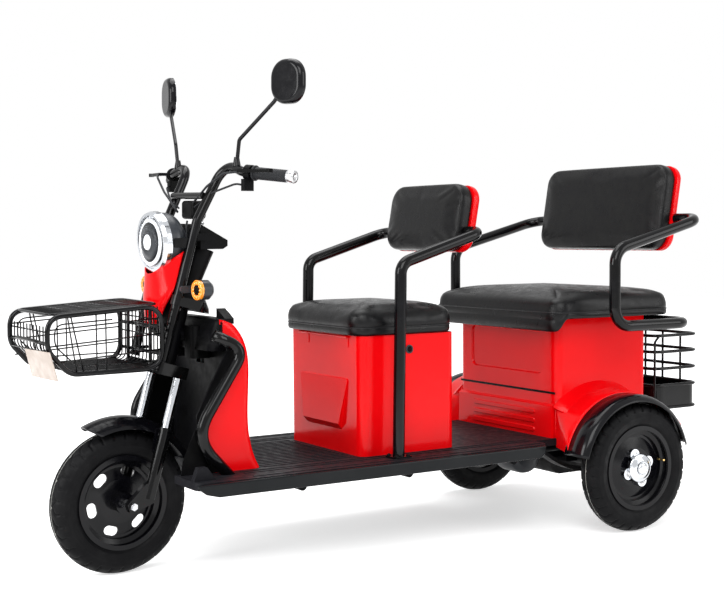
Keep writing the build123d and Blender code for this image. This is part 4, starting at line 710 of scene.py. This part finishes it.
L_BACK, L_FRONT, L_HALF = B_BACK + 4, B_FRONT - 14, 117
lid_rim = rounded_path([lid_at(L_BACK, L_HALF), lid_at(L_BACK, -L_HALF), lid_at(L_FRONT, -L_HALF),
                        lid_at(L_FRONT, L_HALF)], 0.03, True)
bars("basket_lid_rim", [lid_rim], LID_BAR, ENAMEL, "basket_lid", "black_steel", True)
lid_wires = [[lid_at(L_BACK, k * L_HALF / 6), lid_at(L_FRONT, k * L_HALF / 6)] for k in range(-5, 6)]
lid_wires += [[lid_at(L_BACK + step, L_HALF), lid_at(L_BACK + step, -L_HALF)]
              for step in (60, 120, 180, 240)]
lid_mesh = bars("basket_lid_wires", lid_wires, WIRE, ENAMEL, "basket_lid", "black_steel")
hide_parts("front_basket_lid")
plate = slab([at(1881, 4, 664), at(1881, 172, 668), at(1858, 172, 590), at(1858, -4, 586)],
             (0.9, 0, -0.3), 0.003)
edged(forms("blank_plate", [plate], PLATE, "steering", "black_plastic", False))

# ---- lamps ----
LAMP_AT, AHEAD = at(1497, 0, 949), (1, 0, 0)
LAMP_PIECES = (
    ("lamp_white_ring", turned_ring, 72, LAMP_WHITE, "clear_lens",
     ((-0.014, 0.0765), (-0.0095, 0.0755), (-0.0088, 0.071), (-0.0095, 0.066), (-0.014, 0.0645))),
    ("lamp_reflector", turned_ring, 72, HOUSING, "black_gloss",
     ((-0.015, 0.0645), (-0.024, 0.060), (-0.036, 0.050), (-0.046, 0.036), (-0.052, 0.022))),
    ("lamp_projector", turned_ring, 48, CHROME, "chrome",
     ((-0.055, 0.027), (-0.028, 0.0285), (-0.026, 0.0265), (-0.028, 0.0245), (-0.040, 0.022))),
    ("lamp_eye", lathe, 40, LAMP_WHITE, "clear_lens",
     ((-0.040, 0.022), (-0.031, 0.019), (-0.026, 0.012), (-0.0245, 0.003))),
    ("lamp_shade", turned_ring, 64, HOUSING, "black_gloss",
     ((0.0040, 0.0560), (0.0105, 0.0420), (0.0145, 0.0250), (0.0128, 0.0250), (0.0060, 0.0500))),
    ("lamp_halo", turned_ring, 64, LAMP_WHITE, "clear_lens",
     ((0.0020, 0.0690), (0.0058, 0.0665), (0.0072, 0.0610), (0.0066, 0.0570), (0.0020, 0.0590))),
    ("lamp_bulb", lathe, 40, LAMP_WHITE, "clear_lens",
     ((0.0100, 0.0235), (0.0150, 0.0215), (0.0168, 0.0130), (0.0172, 0.0020))),
)
for name, shape, steps, finish, slot, profile in LAMP_PIECES:
    forms(name, [shape(profile, LAMP_AT, AHEAD, steps)], finish, "steering", slot)

SIGNAL_X, SIGNAL_Y, SIGNAL_Z = 1432, 157, 817
CELL_COUNT, CELL_R, CELL_RING_R, CELL_RISE = 12, 0.0042, 0.0205, 0.004


def turn_signal(side, sign):
    """What shows in a turn signal's lens: a ring of cells, a bright edge and a dark middle."""
    spot = at(SIGNAL_X, sign * SIGNAL_Y, SIGNAL_Z)
    cells = [dome(spot + Vector((CELL_RISE, math.cos(a) * CELL_RING_R, math.sin(a) * CELL_RING_R)),
                  AHEAD, CELL_R, CELL_RISE, 10) for a in circle(CELL_COUNT)]
    forms(f"{side}_signal_cells", cells, AMBER, "steering", "amber_lens")
    edge = [(0.0, 0.0285), (0.0055, 0.0285), (0.0068, 0.027), (0.0055, 0.0255), (0.001, 0.025)]
    forms(f"{side}_signal_ring", [turned_ring(edge, spot, AHEAD, 40)], AMBER, "steering", "amber_lens")
    middle = [(0.003, 0.0145), (0.0062, 0.0138), (0.0066, 0.004)]
    forms(f"{side}_signal_middle", [lathe(middle, spot, AHEAD, 32)], SATIN, "steering", "black_plastic")


for side, sign in SIDES:
    turn_signal(side, sign)

# ---- the steered front: red shell, column cover and reflectors ----
SHELL_NOSE, SHELL_BEHIND, SHELL_HALF, SHELL_THICK = 1507, 86, 86, 3
SHELL_LOW, SHELL_LOW_RISE, SHELL_TOP, SHELL_TOP_RISE = 702, 34, 858, 66
SHELL_TAPER, SHELL_ROUND = 0.42, 2.4


def shell_row(share):
    """A level of the shell, from 0 at its lower edge to 1: along its face and back along its inside."""
    face, back = [], []
    for u in (column / 16 - 1 for column in range(33)):
        low, top = SHELL_LOW + SHELL_LOW_RISE * abs(u) ** 3, SHELL_TOP + SHELL_TOP_RISE * u * u
        z = low + (top - low) * share
        rear = steer_x(z) + SHELL_BEHIND
        half = SHELL_HALF * (1 - SHELL_TAPER * (1 - ease(0, 0.5, share)))
        x = rear + (SHELL_NOSE - rear) * (1 - abs(u) ** SHELL_ROUND)
        face.append(at(x, half * u, z))
        back.append(at(x - SHELL_THICK, half * u * 0.97, z))
    return face + back[::-1]


shell = loft([shell_row(row / 24) for row in range(25)])
panel = forms("front_shell", [shell], RED, "steering", "red_gloss")
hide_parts("front_panel")
cover_rings = [[at(steer_x(z) + 54 + x, y, z) for x, y in outline(16, 66, 12, 6, 4)]
               for z in (714, 760, 820, 880, 940)]
forms("column_front", [loft(cover_rings)], SATIN, "steering", "black_plastic")
reflector = [(0, 0.0128), (0.004, 0.0128), (0.0055, 0.0115), (0.006, 0.003)]
reflectors = [lathe(reflector, at(SHELL_NOSE, y, z), AHEAD, 36) for y, z in ((-6, 719), (27, 722))]
forms("panel_reflectors", reflectors, REDLENS, "steering", "red_lens")

# ---- handlebar ----
PERCH, BAR_END = (1314, 205, 1151), (1249, 342, 1137)
COLLAR_FROM, RIBS_FROM, RIBS_SPAN, RIB_COUNT = 0.26, 0.30, 0.68, 25
RIB = ((0, 0.0169), (0.0008, 0.0177), (0.0024, 0.0177), (0.0032, 0.0169))
BAR_CAP = ((-0.001, 0.0172), (0.001, 0.0182), (0.019, 0.0182), (0.022, 0.0168), (0.0225, 0.0075),
           (0.016, 0.0068), (0.015, 0.001))
MIRROR_AT, MIRROR_YAW = (1257, 347, 1398), math.radians(14.5)
DASH_UP = (-0.47, 0, 0.88)


def grip_fittings(side, sign):
    """A grip's ribs, its collar and the weight at the bar's end."""
    start, end = (at(x, sign * y, z) for x, y, z in (PERCH, BAR_END))
    way = (end - start).normalized()
    length = (end - start).length
    ribs = []
    for along in (length * RIBS_FROM + length * RIBS_SPAN * k / (RIB_COUNT - 1) for k in range(RIB_COUNT)):
        ribs += [(along + step, radius) for step, radius in RIB]
    grip = forms(f"{side}_grip_ribs", [lathe(ribs, start, way, 40)], GRIP, "steering", "grip_rubber")
    collar = [(length * COLLAR_FROM, 0.0145), (length * COLLAR_FROM, 0.0215), (length * 0.29, 0.0222),
              (length * RIBS_FROM, 0.0215), (length * RIBS_FROM, 0.0150)]
    forms(f"{side}_grip_collar", [turned_ring(collar, start, way, 40)], GRIP, "steering", "grip_rubber")
    cap = [(length + along, radius) for along, radius in BAR_CAP]
    forms(f"{side}_bar_cap", [lathe(cap, start, way, 40)], ZINC, "steering", "zinc_steel")
    if side == "left":
        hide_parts("grips")


def mirror_glass(side, sign):
    """A mirror's glass, turned a little outwards."""
    x, y, z = MIRROR_AT
    facing = Vector((math.cos(MIRROR_YAW), sign * math.sin(MIRROR_YAW), 0))
    sideways = Vector((-facing.y, facing.x, 0))
    ring = [at(x, sign * y, z) - facing * 0.0125 + sideways * (u / 1000) + Vector((0, 0, v / 1000))
            for u, v in outline(54, 57, 47, 12, 4)]
    glass = loft([ring, [p - facing * 0.0016 for p in ring]])
    forms(f"{side}_mirror_glass", [glass], MIRROR, "steering", "chrome", False)


for side, sign in SIDES:
    grip_fittings(side, sign)
for side, sign in SIDES:
    mirror_glass(side, sign)
switch_box = block((1334, -36, 1016), (1382, 36, 1070))
edged(forms("switch_cover", [switch_box], SATIN, "steering", "black_plastic", False), 0.010, 4)
screen = slab([at(1292, -42, 962), at(1346, -42, 991), at(1346, 42, 991), at(1292, 42, 962)],
              DASH_UP, 0.0022)
edged(forms("dial_screen", [screen], SCREEN, "steering", "clear_lens", False))
key_barrel = lathe([(0, 0.011), (0.006, 0.011), (0.007, 0.009), (0.007, 0.004)], at(1352, 26, 1003),
                   DASH_UP, 28)
key_bow = slab([at(1344, 25, 1008), at(1358, 25, 1016), at(1346, 25, 1038), at(1332, 25, 1030)],
               (0, 1, 0), 0.002)
forms("ignition_key", [key_barrel, key_bow], ZINC, "steering", "zinc_steel")

# ---- deck, bolts and locks ----
DECK_TOP, RIB_TOP, RIB_HALF = 298, 299.6, 4.5


def deck_rib(back, front, y):
    """A long low rib of the deck."""
    return block((back, y - RIB_HALF, DECK_TOP), (front, y + RIB_HALF, RIB_TOP))


ribs = [deck_rib(938, 1262, y) for y in range(-192, 193, 24)]
edged(forms("deck_ribs", ribs, DECK, "chassis", "deck_plastic", False), 0.0006)
ribs = [deck_rib(300, 1330, sign * y) for _, sign in SIDES for y in (232, 256, 312)]
edged(forms("deck_side_ribs", ribs, DECK, "chassis", "deck_plastic", False), 0.0006)
heads = [dome(at(823 + dx, sign * 279 + dy, 304), (0, 0, 1), 0.0055, 0.005)
         for _, sign in SIDES for dx in (-21, 21) for dy in (-21, 21)]
forms("flange_bolts", heads, SATIN, "chassis", "black_steel")
LOCK_AT, OUT = at(742, 219, 616), (0, 1, 0)
lock_ring = turned_ring([(-0.001, 0.0135), (0.002, 0.0135), (0.0034, 0.012), (0.0034, 0.009)],
                        LOCK_AT, OUT, 36)
forms("seat_lock_ring", [lock_ring], HOUSING, "chassis", "black_gloss")
key_slot = slab([LOCK_AT + Vector((x, 0.0030, z)) for x, z in (
    (-0.001, -0.006), (0.001, -0.006), (0.001, 0.006), (-0.001, 0.006))], OUT, 0.0008)
lock_core = lathe([(0.001, 0.009), (0.003, 0.0088), (0.0034, 0.002)], LOCK_AT, OUT, 28)
forms("seat_lock_core", [lock_core, key_slot], SATIN, "chassis", "black_plastic")

# ---- wheel fittings ----
NUT_COUNT, NUT_RING_R, HUB_ROUND_R = 4, 0.046, 0.0625
hub_points = np.array([v.co for v in NODES["rear_left_hub"].data.vertices])
spokes = hub_points[:, [0, 2]] - np.array([AXLE_X, TYRE_R])
lobes = NUT_COUNT * np.arctan2(*spokes[np.hypot(*spokes.T) > HUB_ROUND_R].T[::-1])
FIRST_LOBE = np.arctan2(np.sin(lobes).mean(), np.cos(lobes).mean()) / NUT_COUNT


def wheel_fittings(side, sign):
    """A rear wheel's nuts on the hub's lobes, its hub cap and disc, the rim's bead and the valve."""
    body, way = f"rear_{side}_wheel", (0, sign, 0)
    low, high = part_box(f"rear_{side}_hub")
    face = Vector((AXLE_X, high.y if sign > 0 else low.y, TYRE_R))
    middle = Vector((AXLE_X, face.y - sign * 0.0198, TYRE_R))
    nuts = [dome(middle + Vector((math.cos(a), 0, math.sin(a))) * NUT_RING_R, way, 0.0085, 0.008, 6)
            for a in (FIRST_LOBE + k * math.pi / 2 for k in range(NUT_COUNT))]
    forms(f"{side}_hub_nuts", nuts, ZINC, body, "zinc_steel", False)
    cap = [(-0.003, 0.0195), (0.001, 0.019), (0.0035, 0.0165), (0.0048, 0.010), (0.005, 0.002)]
    forms(f"{side}_hub_cap", [lathe(cap, face, way, 40)], CHROME, body, "chrome")
    disc = [(-0.020, 0.047), (-0.011, 0.046), (-0.009, 0.042), (-0.008, 0.034), (-0.005, 0.032),
            (-0.004, 0.021)]
    forms(f"{side}_hub_disc", [lathe(disc, face, way, 56)], CHROME, body, "chrome")
    rim_face = Vector((AXLE_X, sign * (TRACK_HALF + 0.030), TYRE_R))
    bead = [(-0.004, 0.1251), (0.0006, 0.1247), (0.001, 0.1235), (0.0006, 0.1223), (-0.004, 0.1219)]
    forms(f"{side}_rim_bead", [turned_ring(bead, rim_face, way, 72)], GLOSS, body, "black_steel")
    valve_at = Vector((AXLE_X - 0.098, sign * (TRACK_HALF + 0.010), TYRE_R + 0.018))
    valve = [(0, 0.0042), (0.012, 0.0042), (0.013, 0.0032), (0.024, 0.0032), (0.025, 0.0038),
             (0.031, 0.0036), (0.032, 0.0015)]
    forms(f"{side}_valve", [lathe(valve, valve_at, way, 20)], BRASS, body, "zinc_steel")


for side, sign in SIDES:
    wheel_fittings(side, sign)

# ---- piping and cables ----
PIPING_R, PIPING_INSET, PIPING_CORNER = 0.0022, 0.0022, 0.053


def piping(name, node, body, height):
    """A sewn edge round a seat, at a height."""
    low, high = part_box(node)
    middle = (low + high) / 2
    ring = [Vector((middle.x + x, middle.y + y, height)) for x, y in
            outline((high.x - low.x) / 2 - PIPING_INSET, (high.y - low.y) / 2 - PIPING_INSET, PIPING_CORNER)]
    bars(name, [ring], PIPING_R, PIPING, body, "vinyl", True)


piping("front_seat_piping", "front_cushion", "front_seat", F_LOW.z + 0.0245)
piping("rear_seat_piping", "rear_cushion", "rear_seat", BOX_HIGH.z + 0.0228)

BRAKE_CABLE_R, LEAD_R = 0.0034, 0.003
for name, radius, bend, route in (
        ("far_brake_cable", BRAKE_CABLE_R, 0.05,
         ((1352, -238, 1150), (1372, -200, 1140), (1392, -120, 1096), (1396, -60, 1060), (1392, -36, 1036))),
        ("far_switch_cable", LEAD_R, 0.05,
         ((1322, -222, 1116), (1346, -190, 1108), (1376, -110, 1070), (1384, -44, 1048))),
        ("near_brake_cable", BRAKE_CABLE_R, 0.05,
         ((1352, 238, 1150), (1368, 190, 1146), (1382, 120, 1110), (1386, 48, 1064))),
        ("near_switch_cable", LEAD_R, 0.05,
         ((1312, 222, 1112), (1322, 180, 1118), (1360, 110, 1092), (1380, 44, 1050))),
        ("lamp_lead", LEAD_R, 0.02,
         ((1390, 18, 1010), (1402, 34, 990), (1404, 40, 960), (1396, 34, 930)))):
    path = rounded_path([at(*p) for p in route], bend, False, 10)
    bars(name, [path], radius, GRIP, "steering", "grip_rubber", sides=10)

# ---- guard bars, shield, hood and sills ----
GUARD_R, GUARD_BEND = 0.0165, 0.119


def guard_path(sign):
    """A guard bar: out of the hood, forward and down past the shield, and back to the deck."""
    corners = [at(1402, sign * 221, 690), at(1317, sign * 242, 646), at(1474, sign * 242, 408),
               at(1366, sign * 242, 290)]
    return rounded_path(corners, GUARD_BEND, False, 22)


guards = [guard_path(sign) for _, sign in SIDES]
guard = bars("guard_bars", guards, GUARD_R, ENAMEL, "chassis", "black_steel", sides=20)
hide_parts("guard_tubes")

FRONT_EDGE = ((298, 1400), (338, 1417), (402, 1444), (463, 1446), (552, 1399), (641, 1348), (690, 1367),
              (729, 1366))
EDGE_IN, EDGE_LIP, EDGE_OUT = 199, 205.3, 206.2
guard_line = sorted((p.z * 1000, (p.x - AXLE_X) * 1000) for p in guards[0])


def edging_ring(sign, z):
    """The trim on the shield's front edge at one height, reaching back to the guard bar."""
    front = float(np.interp(z, *zip(*FRONT_EDGE)))
    start = min(float(np.interp(z, *zip(*guard_line))), front + 3.5)
    return [at(x, sign * y, z) for x, y in ((start, EDGE_OUT), (front + 5, EDGE_OUT), (front + 5, EDGE_IN),
                                            (front + 4, EDGE_IN), (front + 4, EDGE_LIP), (start, EDGE_LIP))]


edgings = [loft([edging_ring(sign, z) for z in range(299, 728, 6)]) for _, sign in SIDES]
forms("shield_edging", edgings, SATIN, "chassis", "black_plastic", False)
HOOD_LEVELS = ((640, 1322, 1396, 188, 28), (690, 1320, 1386, 188, 28), (716, 1318, 1378, 187, 24),
               (727, 1318, 1373, 186, 20), (730.3, 1322, 1369, 182, 16))
hood_rings = [[at((back + front) / 2 + x, y, z) for x, y in outline((front - back) / 2, half, corner, 6, 6)]
              for z, back, front, half, corner in HOOD_LEVELS]
forms("column_hood", [loft(hood_rings)], SATIN, "chassis", "black_plastic")
SILL_SIDE = ((330, 258), (1452, 258), (1490, 268), (1512, 284), (1516, 296), (310, 296), (312, 272))
SILL_OUTER, SILL_THICK = 354, 13.7
sills = [slab([at(x, y, z) for x, z in SILL_SIDE], (0, -1, 0), SILL_THICK / 1000)
         for y in (SILL_OUTER, SILL_THICK - SILL_OUTER)]
sill_trim = edged(forms("sill_trims", sills, SILL, "chassis", "black_plastic", False), 0.004, 3)
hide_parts("side_sills")

# ---- rear arches and the steering column's skirt ----
FENDER_X, FENDER_R = 22, 241


def arch_ring(sign, turn, profile):
    """A section over a rear wheel: profile lists radius and distance out, at an angle from straight up."""
    return [at(FENDER_X + radius * math.sin(turn), sign * out, TYRE_R * 1000 + radius * math.cos(turn))
            for radius, out in profile]


def flare_ring(sign, turn):
    """A section of the red flare from the seat box to the fender, full at the top and flat at its ends."""
    share = 1 - 0.85 * ease(28, 72, abs(math.degrees(turn)))
    rise = [(0, 262), (30 * share, 266), (20 * share, 271), (12 * share, 283), (7, 303), (5, 332), (4, 360),
            (3.4, 378), (2.4, 386), (-4, 388), (-4, 262)]
    return [at(min(FENDER_X + (FENDER_R + up) * math.sin(turn), 194 + (out - 262) * 0.46), sign * out,
               TYRE_R * 1000 + (FENDER_R + up) * math.cos(turn)) for up, out in rise]


flares = [loft([flare_ring(sign, math.radians(75 - 140 * step / 40)) for step in range(41)])
          for _, sign in SIDES]
forms("box_flares", flares, RED, "chassis", "red_gloss")
SHOULDER_FACE = ((186, 716), (186, 731), (156, 747), (130, 758), (130, 716))
shoulders = [slab([at(1322, sign * y, z) for y, z in SHOULDER_FACE], AHEAD, 0.028) for _, sign in SIDES]
forms("hood_shoulders", shoulders, SATIN, "chassis", "black_plastic", False)
skirt = [(0.112, 0.020), (0.1125, 0.084), (0.124, 0.080), (0.160, 0.056), (0.172, 0.046), (0.1725, 0.020)]
column_skirt = lathe(skirt, STEER_AT, STEER_UP, 48)
forms("column_skirt", [column_skirt], SATIN, "steering", "black_plastic", ahead=False)

BAND = ((240, 372), (240.5, 432), (239, 444), (235, 455), (229, 462), (222, 466), (219, 468), (217, 466),
        (219, 463), (227, 459), (232, 452), (236, 442), (237, 432), (236, 372))
LINER = ((235.5, 268), (235.5, 374), (232.5, 374), (232.5, 268))
for side, sign in SIDES:
    band = loft([arch_ring(sign, math.radians(76 - 150 * step / 60), BAND) for step in range(61)])
    fender = forms(f"{side}_fender_band", [band], GLOSS, "chassis", "black_gloss")
    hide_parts(f"rear_fender_{side}")
    liner = loft([arch_ring(sign, math.radians(44 - 104 * step / 36), LINER) for step in range(37)])
    forms(f"{side}_arch_liner", [liner], SATIN, "chassis", "black_plastic")

# ---- under the deck and behind the seat box ----
CHEEK = ((1400, 298.5), (1498, 298.5), (1492, 336), (1468, 392), (1450, 430), (1400, 430))
cheeks = [slab([at(x, sign * 197, z) for x, z in CHEEK], (0, sign, 0), 0.003) for _, sign in SIDES]
forms("toe_cheeks", cheeks, SATIN, "chassis", "black_plastic", False)
under = [block((30, -150, 212), (278, 150, 275)), block((-40, 120, 196), (70, 170, 250)),
         block((-40, -170, 196), (70, -120, 250))]
forms("under_frame", under, CHASSIS, "chassis", "black_steel", False)
motor = [(0, 0.030), (0.004, 0.056), (0.020, 0.060), (0.100, 0.060), (0.116, 0.056), (0.120, 0.030)]
forms("drive_motor", [lathe(motor, at(150, -60, 206), OUT, 40)], HOUSING, "chassis", "cast_steel")
# A thin black strip laid in the groove across the seat box's front: painted shade in the groove, not a part.
groove = block((194.6, -258, 441.5), (196.2, 258, 448.5))
forms("box_groove_painted_shade", [groove], SATIN, "chassis", "black_plastic", False)

R_FRONT, R_REAR, R_SPREAD, TRAY_LOW, TRAY_TOP, RAIL_TOP = -244, -457, 262, 357, 439, 611
RAIL_R, POST_R = 0.0056, 0.0042
POST_YS, STAY_Y, STAY_ZS, BOX_BACK = (-174, -87, 0, 87, 174), 174, (399, 554), -205.5


def basket_loop(z):
    """A rail round the rear basket."""
    corners = [(R_FRONT, R_SPREAD), (R_FRONT, -R_SPREAD), (R_REAR, -R_SPREAD), (R_REAR, R_SPREAD)]
    return rounded_path([at(x, y, z) for x, y in corners], 0.046, True, 10)


loops = [basket_loop(z) for z in (612, 556, 498, TRAY_TOP, TRAY_LOW + 4)]
bars("rear_basket_rails", loops, RAIL_R, ENAMEL, "chassis", "black_steel", True, 12)
posts = [rounded_path([at(R_FRONT - 22, sign * 262, 610), at(R_FRONT - 2, sign * 262, 592),
                       at(R_FRONT - 2, sign * 262, TRAY_LOW)], 0.02) for _, sign in SIDES]
posts += [[at(x, y, RAIL_TOP), at(x, y, TRAY_TOP)] for x in (R_REAR, R_FRONT) for y in POST_YS]
posts += [[at(BOX_BACK, sign * STAY_Y, z), at(R_FRONT, sign * STAY_Y, z)]
          for _, sign in SIDES for z in STAY_ZS]
bars("rear_basket_posts", posts, POST_R, ENAMEL, "chassis", "black_steel", sides=10)
tray_rings = []
for z, inset in ((TRAY_TOP, 1.5), (TRAY_LOW, 1.5), (TRAY_LOW + 2.5, 4), (TRAY_TOP, 4)):
    half_x, half_y = (R_FRONT - R_REAR) / 2 - inset, R_SPREAD - inset
    tray_rings.append([at((R_FRONT + R_REAR) / 2 + x, y, z)
                       for x, y in outline(half_x, half_y, 44 - inset, 8, 6)])
tray_walls = forms("rear_basket_walls", [loft(tray_rings, True)], ENAMEL, "chassis", "black_steel", False)
tray_floor = loft([[p + Vector((0, 0, lift)) for p in tray_rings[1]] for lift in (0.0005, 0.002)])
forms("rear_basket_floor", [tray_floor], ENAMEL, "chassis", "black_steel", False)
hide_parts("rear_basket")

# ---- stage ----
FLOOR_HALF = 12.0
FLOOR_NEAR, FLOOR_FAR = 1.2, 3.0


def whiten(made, near, far):
    """Lift what the camera sees of the floor to white, a little under the object and fully far from it."""
    tree = made.node_tree
    nodes, links = tree.nodes, tree.links
    reach = nodes.new("ShaderNodeVectorMath")
    reach.operation = "LENGTH"
    links.new(nodes.new("ShaderNodeTexCoord").outputs["Object"], reach.inputs[0])
    spread = ranged(tree, reach.outputs["Value"], FLOOR_NEAR, FLOOR_FAR, near, far)
    rays = nodes.new("ShaderNodeLightPath").outputs
    seen = combined(tree, "MAXIMUM", rays["Is Camera Ray"], rays["Is Glossy Ray"])
    glow = nodes.new("ShaderNodeEmission")
    links.new(combined(tree, "MULTIPLY", seen, spread), glow.inputs["Strength"])
    both = nodes.new("ShaderNodeAddShader")
    links.new(nodes["Principled BSDF"].outputs[0], both.inputs[0])
    links.new(glow.outputs[0], both.inputs[1])
    links.new(both.outputs[0], nodes["Material Output"].inputs["Surface"])


FLOOR = material("floor_white", (0.94, 0.94, 0.94), 0.9)
whiten(FLOOR, 0.55, 1.0)
floor_mesh = bpy.data.meshes.new("floor")
corners = [(x * FLOOR_HALF, y * FLOOR_HALF, 0) for x, y in ((-1, -1), (1, -1), (1, 1), (-1, 1))]
floor_mesh.from_pydata(corners, [], [(0, 1, 2, 3)])
floor_mesh.materials.append(FLOOR)
floor = added("floor", floor_mesh)

set_camera()
set_world(0.5)
add_light("key", (2.2, 3.4, 3.6), (0, 0, 0.5), (2.6, 2.6), 150)
add_light("fill", (-3.0, 3.6, 2.2), (0, 0, 0.6), (2.4, 2.4), 70)
add_light("front", (3.8, 0.2, 1.9), (0.3, 0, 0.5), (1.8, 1.8), 90)
add_light("top", (0.2, -0.6, 4.2), (0, 0, 0.4), (3.2, 2.4), 110)
bpy.context.scene.view_settings.view_transform = "Standard"
